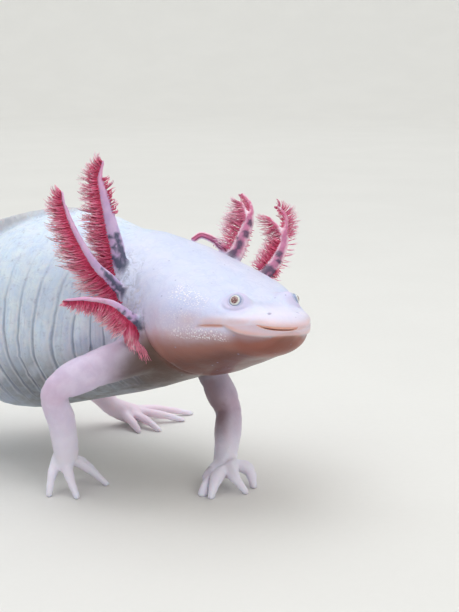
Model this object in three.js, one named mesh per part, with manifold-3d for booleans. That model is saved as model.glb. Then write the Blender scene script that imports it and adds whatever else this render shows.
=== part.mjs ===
// A life-size axolotl, leucistic, standing with its fore body raised and its head turned to its right.
// Millimetres, +Z up, the trunk faces -Y, so its left side is +X. It stands on z = 0.
// The body is a loft of super-elliptic rings round one bent spine; limbs, toes and gill stalks are lofts round
// curves of their own. Every node is then parted from its neighbours by a thin cut.
import * as THREE from "three";
import { mergeVertices } from "three/addons/utils/BufferGeometryUtils.js";
import Module from "manifold-3d";

const wasm = await Module();
wasm.setup();

// ---------------------------------------------------------------- driving sizes
const LENGTH = 272; // snout to tail tip along the spine
const CUT = 0.35; // width of the cuts that part one node from the next
const FINE = 0.08; // detail smaller than this is dropped from the finished solids
const EYE_R = 2.2; // eyeball radius
const EYE_AT = 15.8; // distance of the eyes behind the snout tip
const EYE_SIDE = 10.9; // distance of the eyes from the middle plane
const EYE_UP = 6.9; // height of the eyes above the spine
const ORIGIN = [-6.98, 56.18]; // middle of the model's box in the spine's own frame

// Spine: distance behind the snout tip, heading (degrees, + turns to the animal's right), pitch (+ is nose up), roll (+ lifts the right side)
const SPINE = [
  // s, heading, pitch, roll
  [0, 22, 0, 5],
  [12, 21.6, 0.3, 5],
  [24, 21.4, 0.7, 5],
  [35, 20.3, 1, 5],
  [50, 9.2, 2, 4],
  [62, -1, 3, 2],
  [80, -6, 3, 0],
  [105, -8, 9, 0],
  [120, -9, 18, 0],
  [140, -12, 20, 0],
  [160, -18, 24, 0],
  [185, -29, 26, 0],
  [205, -39, 17, 0],
  [222, -46, 5, 0],
  [240, -51, -2, 0],
  [272, -55, -4, 0],
];
const NECK = { s: 60, x: 2.4, y: -2.4, z: 59.6 }; // where the spine passes over the fore legs

// Rings: distance behind the snout tip, half width, height above the spine, depth below it, squareness
const BODY = [
  [0.0, 1.2, 0.8, 1.0, 2.0],
  [0.8, 4.7, 2.3, 2.5, 2.1],
  [2.2, 7.4, 3.4, 4.0, 2.2],
  [5.0, 10.2, 4.5, 6.8, 2.25],
  [10.0, 14.1, 5.8, 9.5, 2.25],
  [17.0, 18.2, 7.6, 12.0, 2.2],
  [26.0, 22.8, 11.0, 15.8, 2.15],
  [36.0, 25.7, 14.9, 19.4, 2.15],
  [46.0, 25.8, 18.3, 22.0, 2.15],
  [55.0, 24.8, 21.7, 24.8, 2.1],
  [66.0, 25.2, 24.8, 28.0, 2.05],
  [74.0, 27.0, 26.0, 29.9, 2.05],
  [80.0, 28.6, 28.2, 31.4, 2.05],
  [92.0, 31.0, 31.4, 33.2, 2.05],
  [104.0, 32.0, 31.8, 34.8, 2.05],
  [118.0, 30.8, 29.4, 35.0, 2.05],
  [132.0, 26.6, 26.4, 33.0, 2.0],
  [144.0, 20.0, 22.4, 26.4, 2.0],
  [156.0, 14.4, 17.8, 18.6, 2.0],
  [172.0, 10.6, 13.8, 12.6, 2.0],
  [200.0, 7.2, 10.4, 8.8, 2.0],
  [235.0, 4.2, 6.6, 5.8, 2.0],
  [262.0, 2.1, 3.4, 3.1, 2.0],
  [272.0, 0.8, 1.2, 1.2, 2.0],
];
// Where the body is parted: head, neck, three lengths of trunk, three of tail
const PARTS = [
  ["head", 0, 52],
  ["neck", 52, 72],
  ["trunk_front", 72, 97],
  ["trunk_middle", 97, 122],
  ["trunk_rear", 122, 148],
  ["tail_base", 148, 184],
  ["tail_middle", 184, 228],
  ["tail_end", 228, 272],
];
// Fins: distance behind the snout tip, distance of the edge from the spine
const FIN_TOP = [
  [76, 26.0],
  [84, 30.4],
  [92, 32.8],
  [104, 34.2],
  [114, 34.2],
  [123, 34.4],
  [133, 33.0],
  [144, 30.4],
  [160, 27.4],
  [185, 26.4],
  [215, 23.4],
  [245, 16.8],
  [264, 8.6],
  [271.6, 2.4],
];
const FIN_LOW = [
  [150, 15.0],
  [160, 17.6],
  [180, 18.6],
  [215, 18.6],
  [245, 13.0],
  [264, 6.6],
  [271.6, 2.4],
];
const FIN_EDGE = 0.4; // half thickness of a fin at its edge
const FIN_ROOT = 1.5; // half thickness where it leaves the body
const FINS = [
  ["fin_back", FIN_TOP, 1, 76, 133],
  ["fin_tail_upper_front", FIN_TOP, 1, 133, 196],
  ["fin_tail_upper_rear", FIN_TOP, 1, 196, 271.6],
  ["fin_tail_lower_front", FIN_LOW, -1, 150, 204],
  ["fin_tail_lower_rear", FIN_LOW, -1, 204, 271.6],
];

// Legs: points down the middle of each [x, y, z, half width, half depth]; two are the joints, the rest shape the flesh.
// upper, lower and palm end at the numbers given in split. Each toe runs from inside the palm to its tip.
const LEGS = {
  fore_right: {
    names: ["upper_arm_right", "forearm_right", "hand_right"],
    wide: [0.5, 0.5, 0.7],
    split: [3, 5],
    line: [
      [-8, -6, 50, 7.2, 8.4],
      [-22.3, -1.4, 46.6, 6.2, 7.6],
      [-33.4, 5.3, 43.4, 5.6, 6.0],
      [-41.6, 12.4, 37.6, 4.9, 5.2],
      [-36.6, 14.8, 26.4, 4.4, 4.6],
      [-31.8, 17.6, 15.4, 4.2, 4.3],
      [-30.2, 19.8, 10.8, 4.6, 3.2],
    ],
    toes: [
      [[-31.2, 21.6, 12.0], [-35.4, 20.8, 6.5], [-38.3, 19.8, 0.6]],
      [[-30.2, 19.8, 11.5], [-33.4, 14.8, 6.0], [-34.8, 10.8, 0.6]],
      [[-28.6, 19.0, 11.0], [-22.8, 15.4, 6.0], [-19.3, 10.7, 0.6]],
      [[-27.6, 20.6, 10.5], [-18.0, 21.8, 6.0], [-12.4, 20.8, 0.6]],
    ],
    toe: [1.9, 1.55, 0.95],
  },
  fore_left: {
    names: ["upper_arm_left", "forearm_left", "hand_left"],
    wide: [0.5, -0.5, 0.5],
    split: [3, 5],
    line: [
      [8, 0, 47, 6.6, 7.4],
      [16.6, -3.1, 41.7, 5.6, 6.2],
      [17.3, -9.4, 30.8, 5.0, 5.2],
      [16.6, -14.6, 22.0, 4.6, 4.9],
      [12.6, -17.2, 15.0, 4.3, 4.5],
      [8.4, -19.2, 9.6, 4.2, 4.2],
      [4.0, -22.0, 6.2, 4.4, 2.8],
    ],
    toes: [
      [[3.5, -19.4, 7.0], [-5.0, -20.2, 4.5], [-9.9, -22.1, 0.6]],
      [[2.6, -21.8, 7.0], [-6.2, -24.8, 4.5], [-10.9, -26.0, 0.6]],
      [[4.0, -23.2, 7.0], [-0.6, -29.0, 4.5], [-0.7, -33.0, 0.6]],
      [[6.2, -22.6, 7.2], [8.0, -28.6, 5.2], [5.8, -32.2, 0.6]],
    ],
    toe: [1.9, 1.6, 1.0],
  },
  hind_left: {
    names: ["thigh_left", "shin_left", "foot_left"],
    wide: [0, 0.4, 1],
    split: [3, 5],
    line: [
      [-4, 80, 36, 9.0, 9.0],
      [6, 76, 32, 7.4, 8.0],
      [17, 70, 27, 5.8, 6.4],
      [27, 62, 21.5, 4.8, 5.2],
      [34.9, 58.1, 14.0, 4.2, 4.4],
      [37.9, 53.2, 8.0, 3.8, 4.0],
      [44.4, 49.2, 4.0, 4.0, 4.6],
    ],
    toes: [
      [[39.8, 50.0, 6.0], [37.0, 42.0, 2.6], [35.5, 38.6, 0.6]],
      [[42.8, 49.2, 5.6], [42.0, 39.0, 3.0], [41.3, 33.2, 0.6]],
      [[44.4, 49.6, 5.4], [51.9, 39.6, 3.2], [57.6, 33.5, 0.6]],
      [[45.4, 50.4, 5.4], [57.4, 44.2, 3.6], [67.4, 36.2, 0.6]],
      [[44.8, 51.8, 5.2], [55.4, 51.2, 2.8], [63.4, 48.2, 0.6]],
    ],
    toe: [1.9, 1.6, 0.95],
  },
  hind_right: {
    names: ["thigh_right", "shin_right", "foot_right"],
    wide: [0, 0.4, 1],
    split: [3, 5],
    line: [
      [-16, 80, 36, 9.0, 9.0],
      [-26, 78, 32, 7.4, 8.0],
      [-36, 75, 27, 5.8, 6.4],
      [-45, 70, 21.5, 4.8, 5.2],
      [-49.5, 72.5, 13.5, 4.2, 4.4],
      [-53, 74, 7.8, 3.8, 4.0],
      [-58, 72.6, 3.8, 4.0, 4.4],
    ],
    toes: [
      [[-53, 71, 6.0], [-50, 61, 2.6], [-48.6, 55, 0.6]],
      [[-55, 71, 5.6], [-57, 60, 3.0], [-57, 52, 0.6]],
      [[-57, 71.5, 5.4], [-64, 61, 3.2], [-68, 54, 0.6]],
      [[-57, 73, 5.4], [-69, 68, 3.2], [-77, 63, 0.6]],
      [[-56, 75, 5.2], [-67, 76, 2.8], [-75, 75, 0.6]],
    ],
    toe: [1.9, 1.6, 0.95],
  },
};

// Gills: points up the middle of each stalk [x, y, z, half width, half depth], direction of the fringe, and its depth at
// root, middle and tip. arm is a second tip, forked off after the point numbered fork; the fringe then follows the arm,
// and front, where it is given, is the depth of a second leaf on the other side of the main tip.
const GILLS = {
  right_upper: {
    line: [[-13, 0, 64, 3.0, 2.2], [-17, 5, 74, 3.0, 2.1], [-18.5, 6, 82.2, 2.85, 1.7], [-19.6, 6.7, 87.2, 2.6, 1.5], [-20.4, 8, 94.5, 2.15, 1.3], [-20.6, 9.5, 100.5, 1.6, 1.1], [-20.6, 10.2, 104, 1.1, 0.9], [-19.5, 9.6, 109.1, 0.5, 0.5]],
    back: [-0.5, 0.8, 0.1],
    reach: [4.6, 5.6, 4.0],
  },
  right_middle: {
    line: [[-16, -4, 62, 2.4, 2.0], [-20.6, 1.5, 67.2, 2.2, 1.8], [-25.2, 3.7, 72.5, 1.95, 1.5], [-28.5, 5.3, 76, 1.6, 1.35], [-31.5, 6.5, 80.3, 1.3, 1.2], [-34.1, 10.1, 88.8, 1.05, 1.0], [-35.1, 13, 96.7, 0.65, 0.65], [-35.1, 13.7, 100.5, 0.5, 0.5]],
    back: [-0.4, 0.7, -0.3],
    reach: [6.4, 5.6, 4.0],
  },
  right_lower: {
    line: [[-17, -10, 54, 2.3, 2.0], [-21.8, -6.2, 57.9, 2.1, 1.8], [-25.5, -5.7, 60.5, 1.9, 1.6], [-28.5, -5.6, 62.6, 1.6, 1.4], [-32.6, -5.3, 65.5, 1.3, 1.2], [-36.4, -4.3, 67.5, 1.0, 1.0], [-41.5, 0.2, 68.7, 0.7, 0.8], [-46, 4.3, 68.5, 0.5, 0.5]],
    back: [0.1, 0.4, -1],
    reach: [9.5, 5.4, 3.4],
  },
  left_upper: {
    line: [[13, -8, 66, 1.5, 1.5], [20.6, -10.4, 75, 1.4, 1.4], [22.1, -7, 78.8, 1.3, 1.3], [22.1, -4.9, 80.1, 1.3, 1.3], [21.7, -2.7, 81, 1.25, 1.25], [20.8, -0.6, 81.4, 1.2, 1.2], [19.3, 1.1, 80.1, 1.1, 1.1]],
    back: [0.5, 0.1, -0.9],
    reach: [2.6, 2.8, 1.4],
  },
  left_middle: {
    line: [[13, -11, 65, 2.9, 2.2], [21.3, -14.3, 75.4, 2.9, 2.0], [25.2, -14.9, 81, 2.5, 1.7], [27.1, -15.1, 83.7, 2.25, 1.5], [28.7, -15.1, 85.9, 2.05, 1.4], [29.9, -14.9, 87.9, 1.6, 1.2], [31.3, -14.8, 89.5, 1.0, 0.95], [32.5, -13.4, 92.1, 0.85, 0.85], [32.6, -11.4, 94.2, 0.65, 0.65], [32.5, -10.2, 95.3, 0.5, 0.5]],
    fork: 4,
    arm: [[28.9, -15, 86.9, 1.1, 1.0], [29.5, -13.9, 88.7, 1.0, 0.95], [29.9, -12.5, 90.9, 0.8, 0.8], [29.8, -11.4, 92.9, 0.5, 0.5]],
    back: [-0.5, 0.8, 0.1],
    reach: [4.2, 6.0, 4.0],
  },
  left_lower: {
    line: [[16, -21, 61, 2.6, 2.0], [26, -24.7, 69.8, 2.6, 1.9], [30.5, -25.5, 73.5, 2.3, 1.7], [34.6, -25.5, 77.7, 1.85, 1.4], [36.2, -25, 79.9, 1.75, 1.3], [37.6, -24.6, 82.1, 1.45, 1.2], [39.1, -24.3, 84.4, 1.0, 0.95], [40.1, -23.3, 87.4, 0.85, 0.85], [40.4, -21.3, 89.7, 0.65, 0.65], [40.3, -20, 90.8, 0.5, 0.5]],
    fork: 4,
    arm: [[37.2, -24.3, 81.2, 1.0, 0.95], [36.8, -23.1, 82.9, 0.95, 0.9], [36.2, -21.6, 84.8, 0.8, 0.8], [36, -19.5, 86.5, 0.65, 0.65], [35.1, -18.5, 88.4, 0.5, 0.5]],
    back: [-0.4, 0.8, 0.2],
    reach: [5.0, 4.6, 3.6],
    front: 3.4,
  },
};
const FRINGE_T = 1.5; // half thickness of a gill's fringe

// ---------------------------------------------------------------- maths
const rad = (d) => (d * Math.PI) / 180;
// Monotone cubic through a table's column k, keyed by column 0.
function keyed(table, k) {
  const n = table.length,
    x = table.map((r) => r[0]),
    y = table.map((r) => r[k]);
  const d = [],
    m = new Array(n).fill(0);
  for (let i = 0; i < n - 1; i++) d.push((y[i + 1] - y[i]) / (x[i + 1] - x[i]));
  m[0] = d[0];
  m[n - 1] = d[n - 2];
  for (let i = 1; i < n - 1; i++) {
    if (d[i - 1] * d[i] <= 0) continue;
    const a = 2 * (x[i + 1] - x[i]) + (x[i] - x[i - 1]),
      b = x[i + 1] - x[i] + 2 * (x[i] - x[i - 1]);
    m[i] = (a + b) / (a / d[i - 1] + b / d[i]);
  }
  return (t) => {
    const v = Math.min(Math.max(t, x[0]), x[n - 1]);
    let i = 0;
    while (i < n - 2 && v > x[i + 1]) i++;
    const h = x[i + 1] - x[i],
      u = (v - x[i]) / h;
    return (
      y[i] * (1 + 2 * u) * (1 - u) * (1 - u) +
      m[i] * h * u * (1 - u) * (1 - u) +
      y[i + 1] * u * u * (3 - 2 * u) +
      m[i + 1] * h * u * u * (u - 1)
    );
  };
}
const V = (x, y, z) => new THREE.Vector3(x, y, z);
const UP = V(0, 0, 1);
const heading = keyed(SPINE, 1),
  pitch = keyed(SPINE, 2),
  roll = keyed(SPINE, 3);
// Forward direction of the spine at s.
function forward(s) {
  const h = rad(heading(s)),
    p = rad(pitch(s));
  return V(
    -Math.sin(h) * Math.cos(p),
    -Math.cos(h) * Math.cos(p),
    Math.sin(p),
  );
}
// The spine's points each STEP mm, from the tip of the snout to the tip of the tail.
const STEP = 0.5,
  SPINE_P = [];
{
  const n = Math.round((LENGTH + 2) / STEP),
    at = [V(0, 0, 0)];
  for (let i = 0; i < n; i++)
    at.push(at[i].clone().addScaledVector(forward((i + 0.5) * STEP), -STEP));
  const k = Math.round(NECK.s / STEP);
  const move = V(NECK.x, NECK.y, NECK.z).sub(at[k]);
  for (const p of at) SPINE_P.push(p.add(move));
}
function spine(s) {
  const v = Math.max(0, Math.min(s, LENGTH + 1.9)) / STEP,
    i = Math.floor(v);
  const p = SPINE_P[i].clone().lerp(SPINE_P[i + 1], v - i);
  const f = forward(s);
  const level = UP.clone().cross(f).normalize();
  const up = f.clone().cross(level);
  const r = rad(roll(s));
  const left = level
    .clone()
    .multiplyScalar(Math.cos(r))
    .addScaledVector(up, -Math.sin(r));
  const top = f.clone().cross(left);
  return { p, f, left, up: top };
}
// A point given in the body's own terms: behind the snout tip, to the left, above the spine.
function onBody(s, left, up) {
  const q = spine(s);
  return q.p.addScaledVector(q.left, left).addScaledVector(q.up, up);
}

// ---------------------------------------------------------------- shapes
// A closed geometry from rings of points; the ends close on their own middles.
function loft(rings) {
  const m = rings[0].length,
    pos = [],
    idx = [];
  for (const r of rings) for (const p of r) pos.push(p.x, p.y, p.z);
  const middle = (r) => r.reduce((a, p) => a.add(p), V(0, 0, 0)).divideScalar(m);
  const a = middle(rings[0]),
    b = middle(rings[rings.length - 1]),
    ia = rings.length * m,
    ib = ia + 1;
  pos.push(a.x, a.y, a.z, b.x, b.y, b.z);
  for (let i = 0; i < rings.length - 1; i++)
    for (let j = 0; j < m; j++) {
      const k = (j + 1) % m,
        p = i * m + j,
        q = i * m + k,
        r = p + m,
        s = q + m;
      idx.push(p, q, r, q, s, r);
    }
  const last = (rings.length - 1) * m;
  for (let j = 0; j < m; j++) {
    const k = (j + 1) % m;
    idx.push(ia, k, j, ib, last + j, last + k);
  }
  const g = new THREE.BufferGeometry();
  g.setAttribute("position", new THREE.Float32BufferAttribute(pos, 3));
  g.setIndex(idx);
  return g;
}
// A geometry as a solid, turned to face out.
function solid(geometry) {
  const g = geometry.clone();
  g.deleteAttribute("normal");
  g.deleteAttribute("uv");
  const w = mergeVertices(g, 1e-4);
  const make = (t) =>
    new wasm.Manifold(
      new wasm.Mesh({
        numProp: 3,
        vertProperties: new Float32Array(w.attributes.position.array),
        triVerts: t,
      }),
    );
  const tri = new Uint32Array(w.index.array);
  let made = make(tri);
  if (made.volume() < 0) {
    for (let i = 0; i < tri.length; i += 3) [tri[i + 1], tri[i + 2]] = [tri[i + 2], tri[i + 1]];
    made = make(tri);
  }
  return made;
}
const power = (v, e) => Math.sign(v) * Math.pow(Math.abs(v), e);
// One ring of the body at s, grown outward by grow.
function bodyRing(s, sides, grow = 0) {
  const w = BODY_W(s) + grow,
    t = BODY_T(s) + grow,
    b = BODY_B(s) + grow,
    n = 2 / BODY_N(s);
  const q = spine(s),
    ring = [];
  for (let j = 0; j < sides; j++) {
    const a = (2 * Math.PI * (j + 0.5)) / sides,
      x = power(Math.cos(a), n),
      y = power(Math.sin(a), n);
    ring.push(
      q.p
        .clone()
        .addScaledVector(q.left, w * x)
        .addScaledVector(q.up, (y > 0 ? t : b) * y),
    );
  }
  return ring;
}
const BODY_W = keyed(BODY, 1),
  BODY_T = keyed(BODY, 2),
  BODY_B = keyed(BODY, 3),
  BODY_N = keyed(BODY, 4);
// The whole body from stations, grown by grow.
function bodySolid(stations, sides, grow = 0) {
  return solid(loft(stations.map((s) => bodyRing(s, sides, grow))));
}
// A round or flattened tube through points [x, y, z, half width, half depth], from one number along them to another.
// wide is the direction of the width.
function limb(points, wide, sides, steps, grow = 0, from = 0, to = points.length - 1, tip = false) {
  const table = points.map((p, i) => [i, ...p]);
  const k = [0, 1, 2, 3, 4, 5].map((c) => smooth(table, c));
  const at = (t) => V(k[1](t), k[2](t), k[3](t));
  const rings = [],
    end = points.length - 1;
  for (let i = 0; i <= steps; i++) {
    const t = from + ((to - from) * i) / steps;
    rings.push(ringAt(at, t, end, k[4](t) + grow, k[5](t) + grow, wide, sides));
  }
  if (tip) {
    // a rounded end
    const d = at(end).sub(at(end - 0.02)).normalize(),
      w = k[4](end) + grow,
      h = k[5](end) + grow;
    for (const f of [0.45, 0.8]) {
      const shift = d.clone().multiplyScalar(Math.max(w, h) * Math.sin((f * Math.PI) / 2));
      const c = Math.cos((f * Math.PI) / 2);
      rings.push(ringAt((t) => at(t).add(shift), end, end, w * c, h * c, wide, sides));
    }
  }
  return loft(rings);
}
function ringAt(at, t, end, w, h, wide, sides) {
  const e = 0.02,
    d = at(Math.min(t + e, end)).sub(at(Math.max(t - e, 0))).normalize();
  const side = wide.clone().addScaledVector(d, -wide.dot(d)).normalize(),
    up = d.clone().cross(side),
    p = at(t),
    ring = [];
  for (let j = 0; j < sides; j++) {
    const a = (2 * Math.PI * j) / sides;
    ring.push(
      p
        .clone()
        .addScaledVector(side, w * Math.cos(a))
        .addScaledVector(up, h * Math.sin(a)),
    );
  }
  return ring;
}
// Catmull-Rom through a table's column, for paths that should bend freely.
function smooth(table, k) {
  const y = table.map((r) => r[k]),
    n = y.length;
  return (t) => {
    const v = Math.min(Math.max(t, 0), n - 1),
      i = Math.min(Math.floor(v), n - 2),
      u = v - i;
    const a = y[Math.max(i - 1, 0)],
      b = y[i],
      c = y[i + 1],
      d = y[Math.min(i + 2, n - 1)];
    const m0 = i === 0 ? c - b : (c - a) / 2,
      m1 = i === n - 2 ? c - b : (d - b) / 2;
    return (
      b * (1 + 2 * u) * (1 - u) * (1 - u) +
      m0 * u * (1 - u) * (1 - u) +
      c * u * u * (3 - 2 * u) +
      m1 * u * u * (u - 1)
    );
  };
}

const all = (solids) => solids.reduce((a, b) => a.add(b));

// ---------------------------------------------------------------- body
const SIDES = 16;
// Stations from one distance to another, closer together near the snout.
function stations(from, to) {
  const list = [];
  let s = from;
  while (s < to - 0.4) {
    list.push(s);
    s += s < 1.5 ? 1.2 : s < 8 ? 2.6 : s < 20 ? 3.8 : s < 60 ? 5.8 : 8.2;
  }
  list.push(to);
  return list;
}
const GROWN = bodySolid(stations(0, 272), SIDES, CUT); // the body, larger by one cut
const made = {}; // name -> solid

// Mouth: a fine groove round the muzzle; nostrils: a dent each; eyes: a mound, a socket and a ball each
const MOUTH = { from: 21, deep: 0.75, wide: 0.5 };
// height of the mouth's line above the spine, by distance behind the snout tip
const MOUTH_UP = keyed([[0, 0.9], [3, 1.3], [5.7, 1.5], [9.5, 0.7], [13.9, 0], [17.3, -0.4], [21, -1]], 1);
function onSkin(s, up, side) {
  const n = BODY_N(s),
    h = up > 0 ? BODY_T(s) : BODY_B(s),
    u = Math.min(Math.abs(up) / h, 0.98);
  return onBody(s, side * BODY_W(s) * Math.pow(1 - Math.pow(u, n), 1 / n), up);
}
function mouthLine() {
  const line = [];
  for (let i = 0; i <= 22; i++) {
    const a = (i / 22) * Math.PI,
      s = 1.4 + (MOUTH.from - 1.4) * (1 - Math.sin(a)),
      side = Math.cos(a) > 0 ? -1 : 1;
    const front = Math.min(1, Math.abs(Math.cos(a)) / 0.12);
    const up = MOUTH_UP(s);
    const p = onSkin(s, up, side),
      q = onBody(s, 0, up);
    line.push(q.lerp(p, front));
  }
  return line.map((p) => [p.x, p.y, p.z, MOUTH.wide, MOUTH.deep]);
}
const eyeAt = (side) => onBody(EYE_AT, side * EYE_SIDE, EYE_UP);
function ball(p, r, across, up) {
  const g = new THREE.SphereGeometry(r, across, up);
  g.translate(p.x, p.y, p.z);
  return solid(g);
}
for (const [name, from, to] of PARTS) {
  const a = from === 0 ? 0 : from + CUT / 2,
    b = to === 272 ? 272 : to - CUT / 2;
  made[name] = bodySolid(stations(a, b), SIDES);
}
for (const side of [-1, 1]) {
  const p = eyeAt(side),
    mound = onBody(EYE_AT + 1.15, side * (EYE_SIDE - 1.85), EYE_UP - 0.95);
  made.head = made.head.add(ball(mound, EYE_R + 1.6, 8, 6)).subtract(ball(p, EYE_R + CUT, 10, 6));
  made.head = made.head.subtract(ball(onBody(6.1, side * 5.4, 4.4), 0.55, 6, 4));
}
made.head = made.head.subtract(solid(limb(mouthLine(), UP, 4, 10)));

// ---------------------------------------------------------------- fins
// A blade in the middle plane, from inside the body to its edge.
function blade(table, way, from, to) {
  const reach = keyed(table, 1),
    rings = [],
    n = Math.max(6, Math.round((to - from) / 9));
  for (let i = 0; i <= n; i++) {
    const s = from + ((to - from) * i) / n,
      hi = reach(s),
      body = way > 0 ? BODY_T(s) : BODY_B(s),
      lo = Math.min(body * 0.72, hi - 1.2);
    const mid = (Math.max(lo, Math.min(body, hi - 0.6)) + hi) / 2,
      root = Math.min(FIN_ROOT, 0.5 + 0.2 * (hi - lo));
    const at = (left, up) => onBody(s, left, way * up);
    rings.push([at(-root, lo), at(-(root + FIN_EDGE) * 0.5, mid), at(-FIN_EDGE, hi - FIN_EDGE * 0.5), at(FIN_EDGE, hi - FIN_EDGE * 0.5), at((root + FIN_EDGE) * 0.5, mid), at(root, lo)]);
  }
  return solid(loft(rings));
}
for (const [name, table, way, from, to] of FINS)
  made[name] = blade(table, way, from === 76 || from === 150 ? from : from + CUT / 2, to === 271.6 ? to : to - CUT / 2).subtract(GROWN);

// ---------------------------------------------------------------- legs
const shoulders = []; // the upper arms, larger by one cut
for (const leg of Object.values(LEGS)) {
  const wide = V(...leg.wide).normalize(),
    [a, b] = leg.split,
    last = leg.line.length - 1,
    line = leg.line;
  const at = (i) => V(...line[i]);
  const ga = CUT / 2 / at(a).distanceTo(at(a + 1)),
    gb = CUT / 2 / at(b).distanceTo(at(b + 1));
  const upper = solid(limb(line, wide, 10, 6, 0, 0, a - ga)),
    lower = solid(limb(line, wide, 10, 5, 0, a + ga, b - gb)),
    lowerGrown = solid(limb(line, wide, 10, 5, CUT, a + ga, b - gb));
  const toes = leg.toes.map((t) => {
    const pts = t.map((p, i) => [...p, leg.toe[i], leg.toe[i] * 0.92]);
    return solid(limb(pts, UP.clone().cross(V(...t[2]).sub(V(...t[0]))).normalize(), 6, 3, 0, 0, 2, true));
  });
  const palm = solid(limb(line, wide, 8, 2, 0, b + gb, last, true));
  if (leg.names[0].startsWith("upper_arm")) shoulders.push(solid(limb(line, wide, 10, 6, CUT, 0, a)));
  made[leg.names[0]] = upper.subtract(GROWN).subtract(lowerGrown).subtract(lower);
  made[leg.names[1]] = lower.subtract(GROWN);
  made[leg.names[2]] = all([palm, ...toes]).subtract(lowerGrown).subtract(lower);
}

// ---------------------------------------------------------------- gills
const taken = []; // stalks and fringes already made, each larger by one cut
// A flat leaf along points of a stalk, on the side dir, and a little past the tip.
function leafOf(points, dir, reach, grow = 0) {
  const n = points.length - 1,
    depth = (t) => (t < 0.5 ? reach[0] + (reach[1] - reach[0]) * t * 2 : reach[1] + (reach[2] - reach[1]) * (t * 2 - 1));
  const leaf = points.map((p, i) => {
    const t = i / n,
      w = depth(t) * 0.5,
      q = V(p[0], p[1], p[2]).addScaledVector(dir, p[3] * 0.55 + w);
    return [q.x, q.y, q.z, w + p[3] * 0.3, FRINGE_T * (1.1 - 0.35 * t)];
  });
  const end = V(...points[n].slice(0, 3)),
    along = end.clone().sub(V(...points[n - 1].slice(0, 3))).normalize();
  const tip = end.addScaledVector(along, reach[2] * 0.75).addScaledVector(dir, reach[2] * 0.3);
  leaf.push([tip.x, tip.y, tip.z, reach[2] * 0.38, FRINGE_T * 0.6]);
  return solid(limb(leaf, dir, 6, 5, grow, 0, leaf.length - 1, true));
}
for (const [key, gill] of Object.entries(GILLS)) {
  const n = gill.line.length - 1,
    back = V(...gill.back).normalize();
  const stalkOf = (grow) => {
    const main = solid(limb(gill.line, back, 6, 7, grow, 0, n, true));
    if (!gill.arm) return main;
    return main.add(solid(limb([gill.line[gill.fork], ...gill.arm], back, 5, 3, grow, 0.4, gill.arm.length, true)));
  };
  const grown = stalkOf(CUT);
  const free = (body) => [...shoulders, ...taken].reduce((a, b) => a.subtract(b), body.subtract(GROWN));
  const rows = gill.arm ? [...gill.line.slice(1, gill.fork + 1), ...gill.arm] : gill.line.slice(1);
  made["gill_stalk_" + key] = free(stalkOf(0));
  made["gill_fringe_" + key] = free(leafOf(rows, back, gill.reach).subtract(grown));
  taken.push(grown, leafOf(rows, back, gill.reach, CUT));
  if (gill.front) {
    const second = gill.line.slice(gill.fork - 2),
      reach = [gill.front, gill.front, gill.front];
    made["gill_fringe_" + key + "_front"] = free(leafOf(second, back.clone().negate(), reach).subtract(grown));
    taken.push(leafOf(second, back.clone().negate(), reach, CUT));
  }
}
for (const [name, side] of [["eye_right", -1], ["eye_left", 1]]) made[name] = ball(eyeAt(side), EYE_R, 12, 8);

// ---------------------------------------------------------------- floor
// Everything below z = 0 goes, which leaves the soles and the keel of the tail flat.
const under = solid(new THREE.BoxGeometry(800, 800, 100).translate(0, 0, -50));

const LOOK = {
  skin: { color: 0xd9cfd6, roughness: 0.42, metalness: 0 },
  limb: { color: 0xdcb9c6, roughness: 0.42, metalness: 0 },
  stalk: { color: 0xd389a4, roughness: 0.4, metalness: 0 },
  fringe: { color: 0xb01634, roughness: 0.5, metalness: 0 },
  fin: { color: 0xd8d2c9, roughness: 0.4, metalness: 0 },
  eye: { color: 0x9fb0a8, roughness: 0.12, metalness: 0 },
};
function lookOf(name) {
  if (name.startsWith("eye_")) return LOOK.eye;
  if (name.startsWith("fin_")) return LOOK.fin;
  if (name.startsWith("gill_stalk")) return LOOK.stalk;
  if (name.startsWith("gill_fringe")) return LOOK.fringe;
  if (/arm_|hand_|thigh_|shin_|foot_/.test(name)) return LOOK.limb;
  return LOOK.skin;
}
const model = new THREE.Group();
model.name = "axolotl";
for (const [name, body] of Object.entries(made)) {
  let part = body.subtract(under).simplify(FINE);
  const pieces = part.decompose();
  if (pieces.length > 1) part = pieces.sort((a, b) => b.volume() - a.volume())[0];
  const mesh = part.getMesh(),
    n = mesh.numProp,
    pos = new Float32Array((mesh.vertProperties.length / n) * 3);
  for (let i = 0; i < pos.length / 3; i++) {
    pos[3 * i] = mesh.vertProperties[n * i] - ORIGIN[0];
    pos[3 * i + 1] = mesh.vertProperties[n * i + 1] - ORIGIN[1];
    pos[3 * i + 2] = mesh.vertProperties[n * i + 2];
  }
  const g = new THREE.BufferGeometry();
  g.setAttribute("position", new THREE.BufferAttribute(pos, 3));
  g.setIndex(new THREE.BufferAttribute(new Uint32Array(mesh.triVerts), 1));
  g.computeVertexNormals();
  const m = new THREE.Mesh(g, new THREE.MeshStandardMaterial({ ...lookOf(name), name: name + "_look" }));
  m.name = name;
  model.add(m);
}
export default model;
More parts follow.
